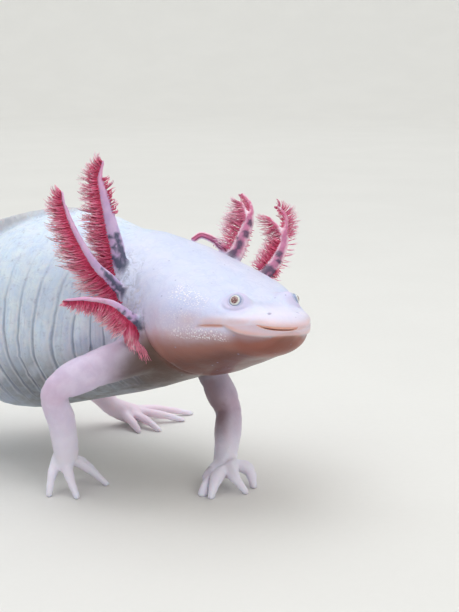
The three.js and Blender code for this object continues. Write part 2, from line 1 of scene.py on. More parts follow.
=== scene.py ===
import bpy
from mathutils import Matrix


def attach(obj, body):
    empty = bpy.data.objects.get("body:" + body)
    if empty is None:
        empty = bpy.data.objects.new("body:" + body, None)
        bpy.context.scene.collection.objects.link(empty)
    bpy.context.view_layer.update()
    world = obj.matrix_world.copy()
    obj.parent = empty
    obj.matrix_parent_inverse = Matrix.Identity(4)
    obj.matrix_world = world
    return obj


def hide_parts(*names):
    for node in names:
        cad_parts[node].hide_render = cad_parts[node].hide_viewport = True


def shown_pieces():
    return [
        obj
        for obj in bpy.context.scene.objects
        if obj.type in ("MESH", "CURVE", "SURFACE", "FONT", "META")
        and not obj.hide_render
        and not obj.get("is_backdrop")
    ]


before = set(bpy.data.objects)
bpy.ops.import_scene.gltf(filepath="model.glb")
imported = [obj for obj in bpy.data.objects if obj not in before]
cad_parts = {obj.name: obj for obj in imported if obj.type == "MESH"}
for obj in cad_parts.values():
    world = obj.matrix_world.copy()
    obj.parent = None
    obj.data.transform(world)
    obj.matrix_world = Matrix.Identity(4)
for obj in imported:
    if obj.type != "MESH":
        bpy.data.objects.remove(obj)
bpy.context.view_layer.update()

import math
import time

import bmesh
import bpy
import numpy as np
import openvdb as vdb
from mathutils import Vector

T0 = time.perf_counter()
VOX = 0.5  # voxel of the skin's field

# ------------------------------------------------------------------ the part's own sizes and curves
LENGTH = 272.0
EYE_R, EYE_AT, EYE_SIDE, EYE_UP = 2.2, 15.8, 10.9, 6.9
ORIGIN = (-6.98, 56.18)
SPINE = [
    (0, 22, 0, 5), (12, 21.6, 0.3, 5), (24, 21.4, 0.7, 5), (35, 20.3, 1, 5), (50, 9.2, 2, 4), (62, -1, 3, 2),
    (80, -6, 3, 0), (105, -8, 9, 0), (120, -9, 18, 0), (140, -12, 20, 0), (160, -18, 24, 0), (185, -29, 26, 0),
    (205, -39, 17, 0), (222, -46, 5, 0), (240, -51, -2, 0), (272, -55, -4, 0),
]
NECK = (60.0, 2.4, -2.4, 59.6)
BODY = [
    (0, 1.2, 0.8, 1, 2), (0.8, 4.7, 2.3, 2.5, 2.1), (2.2, 7.4, 3.4, 4, 2.2), (5, 10.2, 4.5, 6.8, 2.25),
    (10, 14.1, 5.8, 9.5, 2.25), (17, 18.2, 7.6, 12, 2.2), (26, 22.8, 11, 15.8, 2.15), (36, 25.7, 14.9, 19.4, 2.15),
    (46, 25.8, 18.3, 22, 2.15), (55, 24.8, 21.7, 24.8, 2.1), (66, 25.2, 24.8, 28, 2.05), (74, 27, 26, 29.9, 2.05),
    (80, 28.6, 28.2, 31.4, 2.05), (92, 31, 31.4, 33.2, 2.05), (104, 32, 31.8, 34.8, 2.05),
    (118, 30.8, 29.4, 35, 2.05), (132, 26.6, 26.4, 33, 2), (144, 20, 22.4, 26.4, 2), (156, 14.4, 17.8, 18.6, 2),
    (172, 10.6, 13.8, 12.6, 2), (200, 7.2, 10.4, 8.8, 2), (235, 4.2, 6.6, 5.8, 2), (262, 2.1, 3.4, 3.1, 2),
    (272, 0.8, 1.2, 1.2, 2),
]

def keyed(table, k):
    """Monotone cubic through a table's column k, keyed by column 0; takes arrays."""
    x = np.array([r[0] for r in table], float)
    y = np.array([r[k] for r in table], float)
    n = len(x)
    d = np.diff(y) / np.diff(x)
    m = np.zeros(n)
    m[0], m[-1] = d[0], d[-1]
    for i in range(1, n - 1):
        if d[i - 1] * d[i] > 0:
            a = 2 * (x[i + 1] - x[i]) + (x[i] - x[i - 1])
            b = x[i + 1] - x[i] + 2 * (x[i] - x[i - 1])
            m[i] = (a + b) / (a / d[i - 1] + b / d[i])

    def f(t):
        v = np.clip(np.asarray(t, float), x[0], x[-1])
        i = np.clip(np.searchsorted(x, v, side="left") - 1, 0, n - 2)
        h = x[i + 1] - x[i]
        u = (v - x[i]) / h
        return (
            y[i] * (1 + 2 * u) * (1 - u) ** 2
            + m[i] * h * u * (1 - u) ** 2
            + y[i + 1] * u * u * (3 - 2 * u)
            + m[i + 1] * h * u * u * (u - 1)
        )

    return f

heading, pitch, roll = (keyed(SPINE, k) for k in (1, 2, 3))
BODY_W, BODY_T, BODY_B, BODY_N = (keyed(BODY, k) for k in (1, 2, 3, 4))

def forward(s):
    h, p = np.radians(heading(s)), np.radians(pitch(s))
    return np.stack([-np.sin(h) * np.cos(p), -np.cos(h) * np.cos(p), np.sin(p)], -1)

STEP = 0.5
_n = round((LENGTH + 2) / STEP)
SPINE_P = np.zeros((_n + 1, 3))
SPINE_P[1:] = -np.cumsum(forward((np.arange(_n) + 0.5) * STEP), 0) * STEP
SPINE_P += np.array(NECK[1:]) - SPINE_P[round(NECK[0] / STEP)]
SPINE_P -= np.array([ORIGIN[0], ORIGIN[1], 0.0])

def unit(v):
    return v / np.maximum(np.linalg.norm(v, axis=-1, keepdims=True), 1e-12)

def spine(s):
    """Point, forward, left and up of the spine at s (arrays), in the model's frame, millimetres."""
    s = np.asarray(s, float)
    v = np.clip(s, 0, LENGTH + 1.9) / STEP
    i = np.floor(v).astype(int)
    u = (v - i)[..., None]
    p = SPINE_P[i] * (1 - u) + SPINE_P[i + 1] * u
    f = forward(s)
    level = unit(np.cross(np.array([0.0, 0, 1]), f))
    up = np.cross(f, level)
    r = np.radians(roll(s))[..., None]
    left = level * np.cos(r) - up * np.sin(r)
    return p, f, left, np.cross(f, left)

def on_body(s, left, up):
    p, f, l, u = spine(s)
    return p + l * np.asarray(left, float)[..., None] + u * np.asarray(up, float)[..., None]

def body_coords(P, rounds=3):
    """s, left, up of points near the body: the nearest spine plane, by search and then refinement."""
    P = np.asarray(P, float)
    ss = np.arange(0, LENGTH + 1, 2.0)
    sp = spine(ss)[0]
    s = np.zeros(len(P))
    for a in range(0, len(P), 20000):
        q = P[a : a + 20000]
        d = ((q[:, None, :] - sp[None]) ** 2).sum(-1)
        s[a : a + 20000] = ss[d.argmin(1)]
    for _ in range(rounds):
        p, f, l, u = spine(s)
        # forward points to the snout, so going back along the spine is -f
        s = np.clip(s - ((P - p) * f).sum(-1) * 0.9, -6, LENGTH + 4)
    p, f, l, u = spine(s)
    d = P - p
    return s, (d * l).sum(-1), (d * u).sum(-1)

def smooth(points):
    """Catmull-Rom through rows of numbers, by index; takes arrays."""
    y = np.asarray(points, float)
    n = len(y)

    def f(t):
        v = np.clip(np.asarray(t, float), 0, n - 1)
        i = np.minimum(np.floor(v).astype(int), n - 2)
        u = (v - i)[..., None]
        b, c = y[i], y[i + 1]
        m0 = np.where((i == 0)[..., None], c - b, (c - y[np.maximum(i - 1, 0)]) / 2)
        m1 = np.where((i == n - 2)[..., None], c - b, (y[np.minimum(i + 2, n - 1)] - b) / 2)
        return b * (1 + 2 * u) * (1 - u) ** 2 + m0 * u * (1 - u) ** 2 + c * u * u * (3 - 2 * u) + m1 * u * u * (u - 1)

    return f

def shifted(rows):
    """Rows [x, y, z, ...] from the spine's own frame to the model's."""
    a = np.array(rows, float)
    a[:, 0] -= ORIGIN[0]
    a[:, 1] -= ORIGIN[1]
    return a

LEGS = {
    "fore_right": dict(
        wide=(0.5, 0.5, 0.7),
        line=[(-8, -6, 50, 7.2, 8.4), (-22.3, -1.4, 46.6, 6.2, 7.6), (-33.4, 5.3, 43.4, 5.6, 6.0), (-41.9, 12.6, 37.6, 4.3, 4.5),
              (-37.0, 14.7, 26.4, 4.0, 4.2), (-31.8, 17.6, 15.4, 4.2, 4.3), (-30.2, 19.8, 10.8, 4.6, 3.2)],
        toes=[[(-31.2, 21.6, 12.0), (-35.4, 20.8, 6.5), (-38.3, 19.8, 0.6)], [(-30.2, 19.8, 11.5), (-33.4, 14.8, 6.0), (-34.8, 10.8, 0.6)],
              [(-28.6, 19.0, 11.0), (-22.8, 15.4, 6.0), (-19.3, 10.7, 0.6)], [(-27.6, 20.6, 10.5), (-18.0, 21.8, 6.0), (-12.4, 20.8, 0.6)]],
        toe=(1.9, 1.55, 0.95)),
    "fore_left": dict(
        wide=(0.5, -0.5, 0.5),
        line=[(8, 0, 47, 6.6, 7.4), (16.6, -3.1, 41.7, 5.6, 6.2), (17.3, -9.4, 30.8, 5.0, 5.2), (16.6, -14.6, 22.0, 4.6, 4.9),
              (12.6, -17.2, 15.0, 4.3, 4.5), (8.4, -19.2, 9.6, 4.2, 4.2), (4.0, -22.0, 6.2, 4.4, 2.8)],
        toes=[[(3.5, -19.4, 7.0), (-5.0, -20.2, 4.5), (-9.9, -22.1, 0.6)], [(2.6, -21.8, 7.0), (-6.2, -24.8, 4.5), (-10.9, -26.0, 0.6)],
              [(4.0, -23.2, 7.0), (-0.6, -29.0, 4.5), (-0.7, -33.0, 0.6)], [(6.2, -22.6, 7.2), (8.0, -28.6, 5.2), (5.8, -32.2, 0.6)]],
        toe=(1.9, 1.6, 1.0)),
    "hind_left": dict(
        wide=(0, 0.4, 1),
        line=[(-4, 80, 36, 9.0, 9.0), (6, 76, 32, 7.4, 8.0), (17, 70, 27, 5.8, 6.4), (27, 62, 21.5, 4.8, 5.2), (34.9, 58.1, 14.0, 4.2, 4.4),
              (37.9, 53.2, 8.0, 3.8, 4.0), (44.4, 49.2, 4.0, 4.0, 4.6)],
        toes=[[(39.8, 50.0, 6.0), (37.0, 42.0, 2.6), (35.5, 38.6, 0.6)], [(42.8, 49.2, 5.6), (42.0, 39.0, 3.0), (41.3, 33.2, 0.6)],
              [(44.4, 49.6, 5.4), (51.9, 39.6, 3.2), (57.6, 33.5, 0.6)], [(45.4, 50.4, 5.4), (57.4, 44.2, 3.6), (67.4, 36.2, 0.6)],
              [(44.8, 51.8, 5.2), (55.4, 51.2, 2.8), (63.4, 48.2, 0.6)]],
        toe=(1.9, 1.6, 0.95)),
    "hind_right": dict(
        wide=(0, 0.4, 1),
        line=[(-16, 80, 36, 9.0, 9.0), (-26, 78, 32, 7.4, 8.0), (-36, 75, 27, 5.8, 6.4), (-45, 70, 21.5, 4.8, 5.2), (-49.5, 72.5, 13.5, 4.2, 4.4),
              (-53, 74, 7.8, 3.8, 4.0), (-58, 72.6, 3.8, 4.0, 4.4)],
        toes=[[(-53, 71, 6.0), (-50, 61, 2.6), (-48.6, 55, 0.6)], [(-55, 71, 5.6), (-57, 60, 3.0), (-57, 52, 0.6)],
              [(-57, 71.5, 5.4), (-64, 61, 3.2), (-68, 54, 0.6)], [(-57, 73, 5.4), (-69, 68, 3.2), (-77, 63, 0.6)],
              [(-56, 75, 5.2), (-67, 76, 2.8), (-75, 75, 0.6)]],
        toe=(1.9, 1.6, 0.95)),
}
GILLS = {
    "right_upper": dict(
        line=[
            (-13, 0, 64, 3.0, 2.2), (-17, 5, 74, 3.0, 2.1), (-18.5, 6, 82.2, 2.85, 1.7),
            (-19.6, 6.7, 87.2, 2.6, 1.5), (-20.4, 8, 94.5, 2.15, 1.3), (-20.6, 9.5, 100.5, 1.6, 1.1),
            (-20.6, 10.2, 104, 1.1, 0.9), (-19.5, 9.6, 109.1, 0.5, 0.5)],
        back=(-0.5, 0.8, 0.1)),
    "right_middle": dict(
        line=[
            (-16, -4, 62, 2.4, 2.0), (-20.6, 1.5, 67.2, 2.2, 1.8), (-25.2, 3.7, 72.5, 1.95, 1.5),
            (-28.5, 5.3, 76, 1.6, 1.35), (-31.5, 6.5, 80.3, 1.3, 1.2), (-34.1, 10.1, 88.8, 1.05, 1.0),
            (-35.1, 13, 96.7, 0.65, 0.65), (-35.1, 13.7, 100.5, 0.5, 0.5)],
        back=(-0.4, 0.7, -0.3)),
    "right_lower": dict(
        line=[
            (-17, -10, 54, 2.3, 2.0), (-21.8, -6.2, 57.9, 2.1, 1.8), (-25.5, -5.7, 60.5, 1.9, 1.6),
            (-28.5, -5.6, 62.6, 1.6, 1.4), (-32.6, -5.3, 65.5, 1.3, 1.2), (-36.4, -4.3, 67.5, 1.0, 1.0),
            (-41.5, 0.2, 68.7, 0.7, 0.8), (-46, 4.3, 68.5, 0.5, 0.5)],
        back=(0.1, 0.4, -1)),
    "left_upper": dict(
        line=[
            (13, -8, 66, 1.5, 1.5), (20.6, -10.4, 75, 1.4, 1.4), (22.1, -7, 78.8, 1.3, 1.3),
            (22.1, -4.9, 80.1, 1.3, 1.3), (21.7, -2.7, 81, 1.25, 1.25), (20.8, -0.6, 81.4, 1.2, 1.2),
            (19.3, 1.1, 80.1, 1.1, 1.1)],
        back=(0.5, 0.1, -0.9)),
    "left_middle": dict(
        line=[
            (13, -11, 65, 2.9, 2.2), (21.3, -14.3, 75.4, 2.9, 2.0), (25.2, -14.9, 81, 2.5, 1.7),
            (27.1, -15.1, 83.7, 2.25, 1.5), (28.7, -15.1, 85.9, 2.05, 1.4), (29.9, -14.9, 87.9, 1.6, 1.2),
            (31.3, -14.8, 89.5, 1.0, 0.95), (32.5, -13.4, 92.1, 0.85, 0.85), (32.6, -11.4, 94.2, 0.65, 0.65),
            (32.5, -10.2, 95.3, 0.5, 0.5)],
        fork=4,
        arm=[
            (28.9, -15, 86.9, 1.1, 1.0), (29.5, -13.9, 88.7, 1.0, 0.95), (29.9, -12.5, 90.9, 0.8, 0.8),
            (29.8, -11.4, 92.9, 0.5, 0.5)],
        back=(-0.5, 0.8, 0.1)),
    "left_lower": dict(
        line=[
            (16, -21, 61, 2.6, 2.0), (26, -24.7, 69.8, 2.6, 1.9), (30.5, -25.5, 73.5, 2.3, 1.7),
            (34.6, -25.5, 77.7, 1.85, 1.4), (36.2, -25, 79.9, 1.75, 1.3), (37.6, -24.6, 82.1, 1.45, 1.2),
            (39.1, -24.3, 84.4, 1.0, 0.95), (40.1, -23.3, 87.4, 0.85, 0.85), (40.4, -21.3, 89.7, 0.65, 0.65),
            (40.3, -20, 90.8, 0.5, 0.5)],
        fork=4,
        arm=[
            (37.2, -24.3, 81.2, 1.0, 0.95), (36.8, -23.1, 82.9, 0.95, 0.9), (36.2, -21.6, 84.8, 0.8, 0.8),
            (36.1, -20.3, 86.0, 0.65, 0.65), (35.7, -19.4, 87.3, 0.5, 0.5)],
        back=(-0.4, 0.8, 0.2)),
}
FIN_TOP = [(76, 26.0), (84, 30.4), (92, 32.8), (104, 34.2), (114, 34.2), (123, 34.4), (133, 33.0), (144, 30.4), (160, 27.4), (185, 26.4),
           (215, 23.4), (245, 16.8), (264, 8.6), (271.6, 2.4)]
FIN_LOW = [(150, 15.0), (160, 17.6), (180, 18.6), (215, 18.6), (245, 13.0), (264, 6.6), (271.6, 2.4)]
FIN_EDGE, FIN_ROOT = 0.42, 1.5

# ------------------------------------------------------------------ small maths
def ramp(v, a, b):
    """0 before a, 1 after b, smooth between."""
    t = np.clip((np.asarray(v, float) - a) / (b - a), 0, 1)
    return t * t * (3 - 2 * t)

def hump(v, c, w):
    return np.exp(-(((np.asarray(v, float) - c) / w) ** 2))

def noise(P, seed=0):
    """Gradient noise, about -1 to 1, at rows of P."""
    P = np.asarray(P, float)
    i = np.floor(P).astype(np.int64)
    f = P - i
    w = f * f * f * (f * (f * 6 - 15) + 10)
    out = np.zeros(len(P))
    for c in range(8):
        o = np.array([c & 1, (c >> 1) & 1, (c >> 2) & 1])
        q = (i + o).astype(np.uint64)
        h = (q[:, 0] * np.uint64(73856093)) ^ (q[:, 1] * np.uint64(19349663)) ^ (q[:, 2] * np.uint64(83492791)) ^ np.uint64(seed * 2654435761 + 12345)
        h = (h ^ (h >> np.uint64(13))) * np.uint64(1274126177)
        h = h ^ (h >> np.uint64(16))
        z = ((h & np.uint64(1023)).astype(float) / 511.5) - 1
        a = ((h >> np.uint64(10)) & np.uint64(1023)).astype(float) / 1023 * 2 * np.pi
        r = np.sqrt(np.maximum(1 - z * z, 0))
        g = np.stack([r * np.cos(a), r * np.sin(a), z], 1)
        d = ((f - o) * g).sum(1)
        k = np.where(o, w, 1 - w).prod(1)
        out += k * d
    return out * 1.6

def fbm(P, seed=0, octaves=3):
    return sum(noise(P * 2**k, seed + k) / 2**k for k in range(octaves))

# ------------------------------------------------------------------ closed lofts
def loft(rings):
    """Vertices and triangles of a closed loft through rings (n, m, 3)."""
    R = np.asarray(rings, float)
    n, m = R.shape[:2]
    V = np.concatenate([R.reshape(-1, 3), [R[0].mean(0)], [R[-1].mean(0)]])
    i, j = np.meshgrid(np.arange(n - 1), np.arange(m), indexing="ij")
    p, q = i * m + j, i * m + (j + 1) % m
    F = np.concatenate([np.stack([p, q, p + m], -1).reshape(-1, 3), np.stack([q, q + m, p + m], -1).reshape(-1, 3)])
    j = np.arange(m)
    F = np.concatenate([F, np.stack([np.full(m, n * m), (j + 1) % m, j], 1), np.stack([np.full(m, n * m + 1), (n - 1) * m + j, (n - 1) * m + (j + 1) % m], 1)])
    return V, F

def tube(path, radii, wide, sides=32, steps=60, tip=True, power=1.0):
    """A tube round path(t), t 0..1, with half sizes radii(t) -> (w, h); wide is the direction of w. Returns vertices, triangles."""
    t = np.linspace(0, 1, steps + 1)
    p = path(t)
    d = unit(path(np.minimum(t + 1e-3, 1)) - path(np.maximum(t - 1e-3, 0)))
    wide = np.broadcast_to(np.asarray(wide, float), p.shape)
    side = unit(wide - d * (wide * d).sum(-1, keepdims=True))
    up = np.cross(d, side)
    w, h = radii(t)
    a = 2 * np.pi * np.arange(sides) / sides
    ring = lambda p, w, h: p[:, None] + side[-len(p):, None] * (w[:, None] * np.cos(a))[..., None] + up[-len(p):, None] * (h[:, None] * np.sin(a))[..., None]
    rings = list(ring(p, w, h))
    if tip:
        for f in (0.2, 0.4, 0.6, 0.78, 0.92, 0.985):
            g = f * np.pi / 2
            q = p[-1] + d[-1] * max(w[-1], h[-1]) * np.sin(g)
            rings.append(ring(q[None], w[-1:] * np.cos(g), h[-1:] * np.cos(g))[0])
    return loft(rings)

def leg_path(leg):
    rows = shifted(leg["line"])
    f = smooth(rows)
    n = len(rows) - 1
    return (lambda t: f(np.asarray(t) * n)[..., :3]), (lambda t: (f(np.asarray(t) * n)[..., 3], f(np.asarray(t) * n)[..., 4]))

def toe_path(leg, k):
    rows = shifted(leg["toes"][k])
    f = smooth(np.concatenate([rows, np.array(leg["toe"])[:, None]], 1))

    def radii(t):
        t = np.asarray(t, float)
        r = f(t * 2)[..., 3] * (1 + 0.07 * hump(t, 0.42, 0.09) + 0.06 * hump(t, 0.74, 0.08) - 0.05 * hump(t, 0.58, 0.08) + 0.10 * hump(t, 0.97, 0.08))
        return r, r * 0.92

    wide = np.cross([0.0, 0, 1], rows[2] - rows[0])
    return (lambda t: f(np.asarray(t) * 2)[..., :3]), radii, unit(wide)

def gill_path(key):
    """The middle of a gill's stalk, t 0..1."""
    rows = shifted(GILLS[key]["line"])
    n = len(rows) - 1
    f = smooth(rows)
    return lambda t: f(np.asarray(t) * n)[..., :3]

def stalk_tubes(key):
    """Path, half sizes and direction of the width of a stalk and of its second tip."""
    back = unit(np.array(GILLS[key]["back"], float))
    lines = [GILLS[key]["line"]]
    if "arm" in GILLS[key]:
        lines.append([GILLS[key]["line"][GILLS[key]["fork"]]] + list(GILLS[key]["arm"]))
    out = []
    for k, line in enumerate(lines):
        rows = shifted(line)
        if k:
            rows[0, 3:] = rows[1, 3:]
        f = smooth(rows)
        n = len(rows) - 1
        out.append(((lambda t, f=f, n=n: f(np.asarray(t) * n)[..., :3]), (lambda t, f=f, n=n: (f(np.asarray(t) * n)[..., 3], f(np.asarray(t) * n)[..., 4])), back))
    return out

# ------------------------------------------------------------------ the field of the skin
LO = np.floor(np.array([-82.0, -122.0, -4.0]) / VOX).astype(int)
HI = np.ceil(np.array([82.0, 122.0, 118.0]) / VOX).astype(int)
FIELD = None
XF = vdb.createLinearTransform(voxelSize=VOX)

def level(V, F, band):
    g = vdb.FloatGrid.createLevelSetFromPolygons(np.ascontiguousarray(V, np.float32), triangles=np.ascontiguousarray(F, np.uint32), transform=XF, halfWidth=float(band))
    lo = np.maximum(np.floor(V.min(0) / VOX).astype(int) - int(band) - 1, LO)
    hi = np.minimum(np.ceil(V.max(0) / VOX).astype(int) + int(band) + 1, HI)
    A = np.full(tuple(hi - lo), band * VOX, np.float32)
    g.copyToArray(A, ijk=tuple(int(v) for v in lo))
    return A, lo, hi

def part_of(lo, hi):
    a, b = lo - LO, hi - LO
    return tuple(slice(int(a[i]), int(b[i])) for i in range(3))

def points_of(lo, hi):
    ax = [np.arange(lo[i], hi[i], dtype=np.float32) * VOX for i in range(3)]
    return ax

def add(V, F, k, band=5, root=None):
    """Joins a solid to the field with a fillet k mm wide. With root (point, reach, k there) the fillet widens near that point."""
    A, lo, hi = level(V, F, band)
    S = part_of(lo, hi)
    B = FIELD[S]
    if root is not None:
        p, reach, kr = root
        x, y, z = points_of(lo, hi)
        d2 = (x[:, None, None] - p[0]) ** 2 + (y[None, :, None] - p[1]) ** 2 + (z[None, None] - p[2]) ** 2
        k = (k + (kr - k) * np.exp(-d2 / (reach * reach))).astype(np.float32)
    h = np.maximum(k - np.abs(A - B), 0) / k
    FIELD[S] = np.minimum(A, B) - h * h * k * 0.25

def make_field():
    global FIELD
    FIELD = np.full(tuple(HI - LO), 99.0, np.float32)
    sides = 120
    ss = np.concatenate([[0, 0.15, 0.35, 0.6, 0.85, 1.1, 1.4, 1.8, 2.2], np.arange(2.7, 12, 0.6), np.arange(12, 272.01, 1.25)])
    a = 2 * np.pi * (np.arange(sides) + 0.5) / sides
    w, t, b, n = BODY_W(ss), BODY_T(ss), BODY_B(ss), 2 / BODY_N(ss)
    x = np.sign(np.cos(a)) * np.abs(np.cos(a))[None] ** n[:, None]
    y = np.sign(np.sin(a)) * np.abs(np.sin(a))[None] ** n[:, None]
    p, f, l, u = spine(ss)
    R = p[:, None] + l[:, None] * (w[:, None] * x)[..., None] + u[:, None] * (np.where(y > 0, t[:, None], b[:, None]) * y)[..., None]
    band = 6.0 / VOX
    A, lo, hi = level(*loft(R), band)
    FIELD[part_of(lo, hi)] = A
    # eye mounds
    for side in (-1, 1):
        add(*ball(eye_mound(side), EYE_R + 1.5, 40, 24), 2.8, 3.4 / VOX)
    # legs
    for name, leg in LEGS.items():
        path, radii = leg_path(leg)
        n = len(leg["line"]) - 1
        fore = name.startswith("fore")
        root = path(np.array([1.2 / n]))[0]
        add(*tube(path, radii, leg["wide"], 40, 72), 1.6, 6.0 / VOX, (root, 15.0 if fore else 17.0, 5.5))
        for k in range(len(leg["toes"])):
            tp, tr, wide = toe_path(leg, k)
            base = tp(np.array([0.25]))[0]
            add(*tube(tp, tr, wide, 20, 26), 0.5, 2.6 / VOX, (base, 3.4, 2.2))
    # gill stalks
    for key in GILLS:
        for k, (path, radii, wide) in enumerate(stalk_tubes(key)):
            base = path(np.array([0.14 if k == 0 else 0.0]))[0]
            add(*tube(path, radii, wide, 32, 70), 0.45, 3.6 / VOX, (base, 5.0 if k == 0 else 2.0, 3.0 if k == 0 else 0.9))
    # fins
    for table, way, a, b in ((FIN_TOP, 1, 76, 271.6), (FIN_LOW, -1, 150, 271.6)):
        add(*fin(table, way, a, b), 1.6, 3.0 / VOX)
    # the floor
    z = (np.arange(LO[2], HI[2]) * VOX).astype(np.float32)
    np.maximum(FIELD, -z[None, None], out=FIELD)

def eye_mound(side):
    return on_body(EYE_AT + 1.15, side * (EYE_SIDE - 1.85), EYE_UP - 0.95)

def ball(c, r, across=24, up=16):
    th = np.linspace(0, np.pi, up + 1)[1:-1]
    a = 2 * np.pi * np.arange(across) / across
    R = np.stack([np.sin(th)[:, None] * np.cos(a), np.sin(th)[:, None] * np.sin(a), np.cos(th)[:, None] * np.ones(across)], -1) * r + c
    return loft(R)

def fin(table, way, a, b):
    """The blade of a fin in the middle plane, its margin gently ruffled."""
    reach = keyed(table, 1)
    ss = np.linspace(a, b, int((b - a) / 1.1))
    hi = reach(ss)
    body = BODY_T(ss) if way > 0 else BODY_B(ss)
    lo = np.minimum(body * 0.72, hi - 1.2)
    root = np.minimum(FIN_ROOT, 0.5 + 0.2 * (hi - lo))
    q = np.array([0, 0.25, 0.5, 0.7, 0.85, 0.95])
    e = np.array([0.0, 30, 60, 90, 120, 150, 180]) * np.pi / 180
    ruffle = (0.55 * np.sin(ss / 7.3 + way) + 0.35 * np.sin(ss / 4.1 + 2 * way)) * ramp(ss, a + 30, a + 70)
    rings = []
    for i, s in enumerate(ss):
        up = lo[i] + (hi[i] - FIN_EDGE - lo[i]) * q
        wd = FIN_EDGE + (root[i] - FIN_EDGE) * (1 - q) ** 1.15
        left = np.concatenate([-wd, -FIN_EDGE * np.cos(e), wd[::-1]])
        ups = np.concatenate([up, hi[i] - FIN_EDGE + FIN_EDGE * np.sin(e), up[::-1]])
        x = left + ruffle[i] * np.clip((ups - body[i]) / max(hi[i] - body[i], 2.0), 0, 1) ** 1.5
        rings.append(on_body(np.full(len(x), s), x, way * ups))
    return loft(rings)

# ------------------------------------------------------------------ mesh tools
def extract():
    g = vdb.FloatGrid(3.0)
    g.transform = XF
    A = np.clip(FIELD, -2.5, 2.5).astype(np.float32)
    g.background = 2.5
    g.copyFromArray(A, ijk=tuple(int(v) for v in LO), tolerance=0.0)
    P, T, Q = g.convertToPolygons(0.0, 0.0)
    P, Q, T = np.asarray(P, float), np.asarray(Q, np.int64), np.asarray(T, np.int64)
    F = np.concatenate([Q[:, [0, 1, 2]], Q[:, [0, 2, 3]], T.reshape(-1, 3)])
    return P, F

def edges_of(F):
    e = np.sort(np.concatenate([F[:, [0, 1]], F[:, [1, 2]], F[:, [2, 0]]]), 1)
    n = int(F.max()) + 1
    u, inv = np.unique(e[:, 0] * n + e[:, 1], return_inverse=True)
    return np.stack([u // n, u % n], 1), inv.reshape(3, -1).T

def relax(P, E, rounds, lam=0.5, mu=-0.53, keep=None):
    """Taubin smoothing along edges."""
    n = len(P)
    deg = np.bincount(E.ravel(), minlength=n)[:, None].astype(float)
    for k in range(rounds * 2):
        S = np.stack([np.bincount(E[:, 0], P[E[:, 1], c], n) + np.bincount(E[:, 1], P[E[:, 0], c], n) for c in range(3)], 1)
        step = (S / np.maximum(deg, 1) - P) * (lam if k % 2 == 0 else mu)
        P = P + (step if keep is None else step * keep[:, None])
    return P

def normals(P, F):
    c = np.cross(P[F[:, 1]] - P[F[:, 0]], P[F[:, 2]] - P[F[:, 0]])
    N = np.stack([sum(np.bincount(F[:, k], c[:, a], len(P)) for k in range(3)) for a in range(3)], 1)
    return unit(N)

def largest(P, F):
    """Only the biggest connected piece, by label spreading along edges."""
    E, _ = edges_of(F)
    lab = np.arange(len(P))
    while True:
        m = np.minimum(lab[E[:, 0]], lab[E[:, 1]])
        new = lab.copy()
        np.minimum.at(new, E[:, 0], m)
        np.minimum.at(new, E[:, 1], m)
        new = new[new]
        if (new == lab).all():
            break
        lab = new
    ids, cnt = np.unique(lab, return_counts=True)
    keep = lab == ids[cnt.argmax()]
    idx = np.cumsum(keep) - 1
    F = F[keep[F].all(1)]
    return P[keep], idx[F]

def refine(P, F, mark):
    """Splits every triangle in mark in four, and its neighbours so that nothing gapes."""
    E, FE = edges_of(F)
    cut = np.zeros(len(E), bool)
    cut[FE[mark].ravel()] = True
    mid = -np.ones(len(E), np.int64)
    mid[cut] = len(P) + np.arange(cut.sum())
    P = np.concatenate([P, (P[E[cut, 0]] + P[E[cut, 1]]) / 2])
    m = mid[FE]  # columns: edges 01, 12, 20
    c = (m >= 0).sum(1)
    out = [F[c == 0]]
    A, M = F[c == 3], m[c == 3]
    out += [np.stack([A[:, 0], M[:, 0], M[:, 2]], 1), np.stack([M[:, 0], A[:, 1], M[:, 1]], 1), np.stack([M[:, 2], M[:, 1], A[:, 2]], 1), M]
    for k in range(3):  # one edge cut: edge k
        s = (c == 1) & (m[:, k] >= 0)
        a, b, o, x = F[s, k], F[s, (k + 1) % 3], F[s, (k + 2) % 3], m[s, k]
        out += [np.stack([a, x, o], 1), np.stack([x, b, o], 1)]
        s = (c == 2) & (m[:, k] < 0)  # two cut: all but edge k
        a, b, o = F[s, k], F[s, (k + 1) % 3], F[s, (k + 2) % 3]
        x, y = m[s, (k + 1) % 3], m[s, (k + 2) % 3]  # on edges b-o and o-a
        out += [np.stack([a, b, x], 1), np.stack([a, x, y], 1), np.stack([y, x, o], 1)]
    return P, np.concatenate(out)

def mesh_object(name, P, F, smooth_shade=True):
    """A mesh object from millimetres."""
    me = bpy.data.meshes.new(name)
    F = np.ascontiguousarray(F, np.int32)
    me.vertices.add(len(P))
    me.vertices.foreach_set("co", (np.asarray(P) * 0.001).astype(np.float32).ravel())
    n, k = F.shape
    me.loops.add(n * k)
    me.loops.foreach_set("vertex_index", F.ravel())
    me.polygons.add(n)
    me.polygons.foreach_set("loop_start", np.arange(0, n * k, k, dtype=np.int32))
    me.polygons.foreach_set("loop_total", np.full(n, k, np.int32))
    me.update(calc_edges=True)
    me.validate()
    if smooth_shade:
        me.polygons.foreach_set("use_smooth", np.ones(len(me.polygons), bool))
    o = bpy.data.objects.new(name, me)
    bpy.context.scene.collection.objects.link(o)
    return o

def coords_of(o):
    a = np.zeros(len(o.data.vertices) * 3, np.float32)
    o.data.vertices.foreach_get("co", a)
    return a.reshape(-1, 3).astype(float) * 1000

def attribute(o, name, values):
    at = o.data.attributes.get(name) or o.data.attributes.new(name, "FLOAT", "POINT")
    at.data.foreach_set("value", np.asarray(values, np.float32))

# ------------------------------------------------------------------ where a point is on the animal
GROOVES = [66.5, 72.4, 77.5, 84.5, 92.8, 100.5, 106.6, 112.7, 119.4, 126.2, 133.2, 140.4]
TAIL_GROOVES = [147.5 + 6.6 * k for k in range(13)]

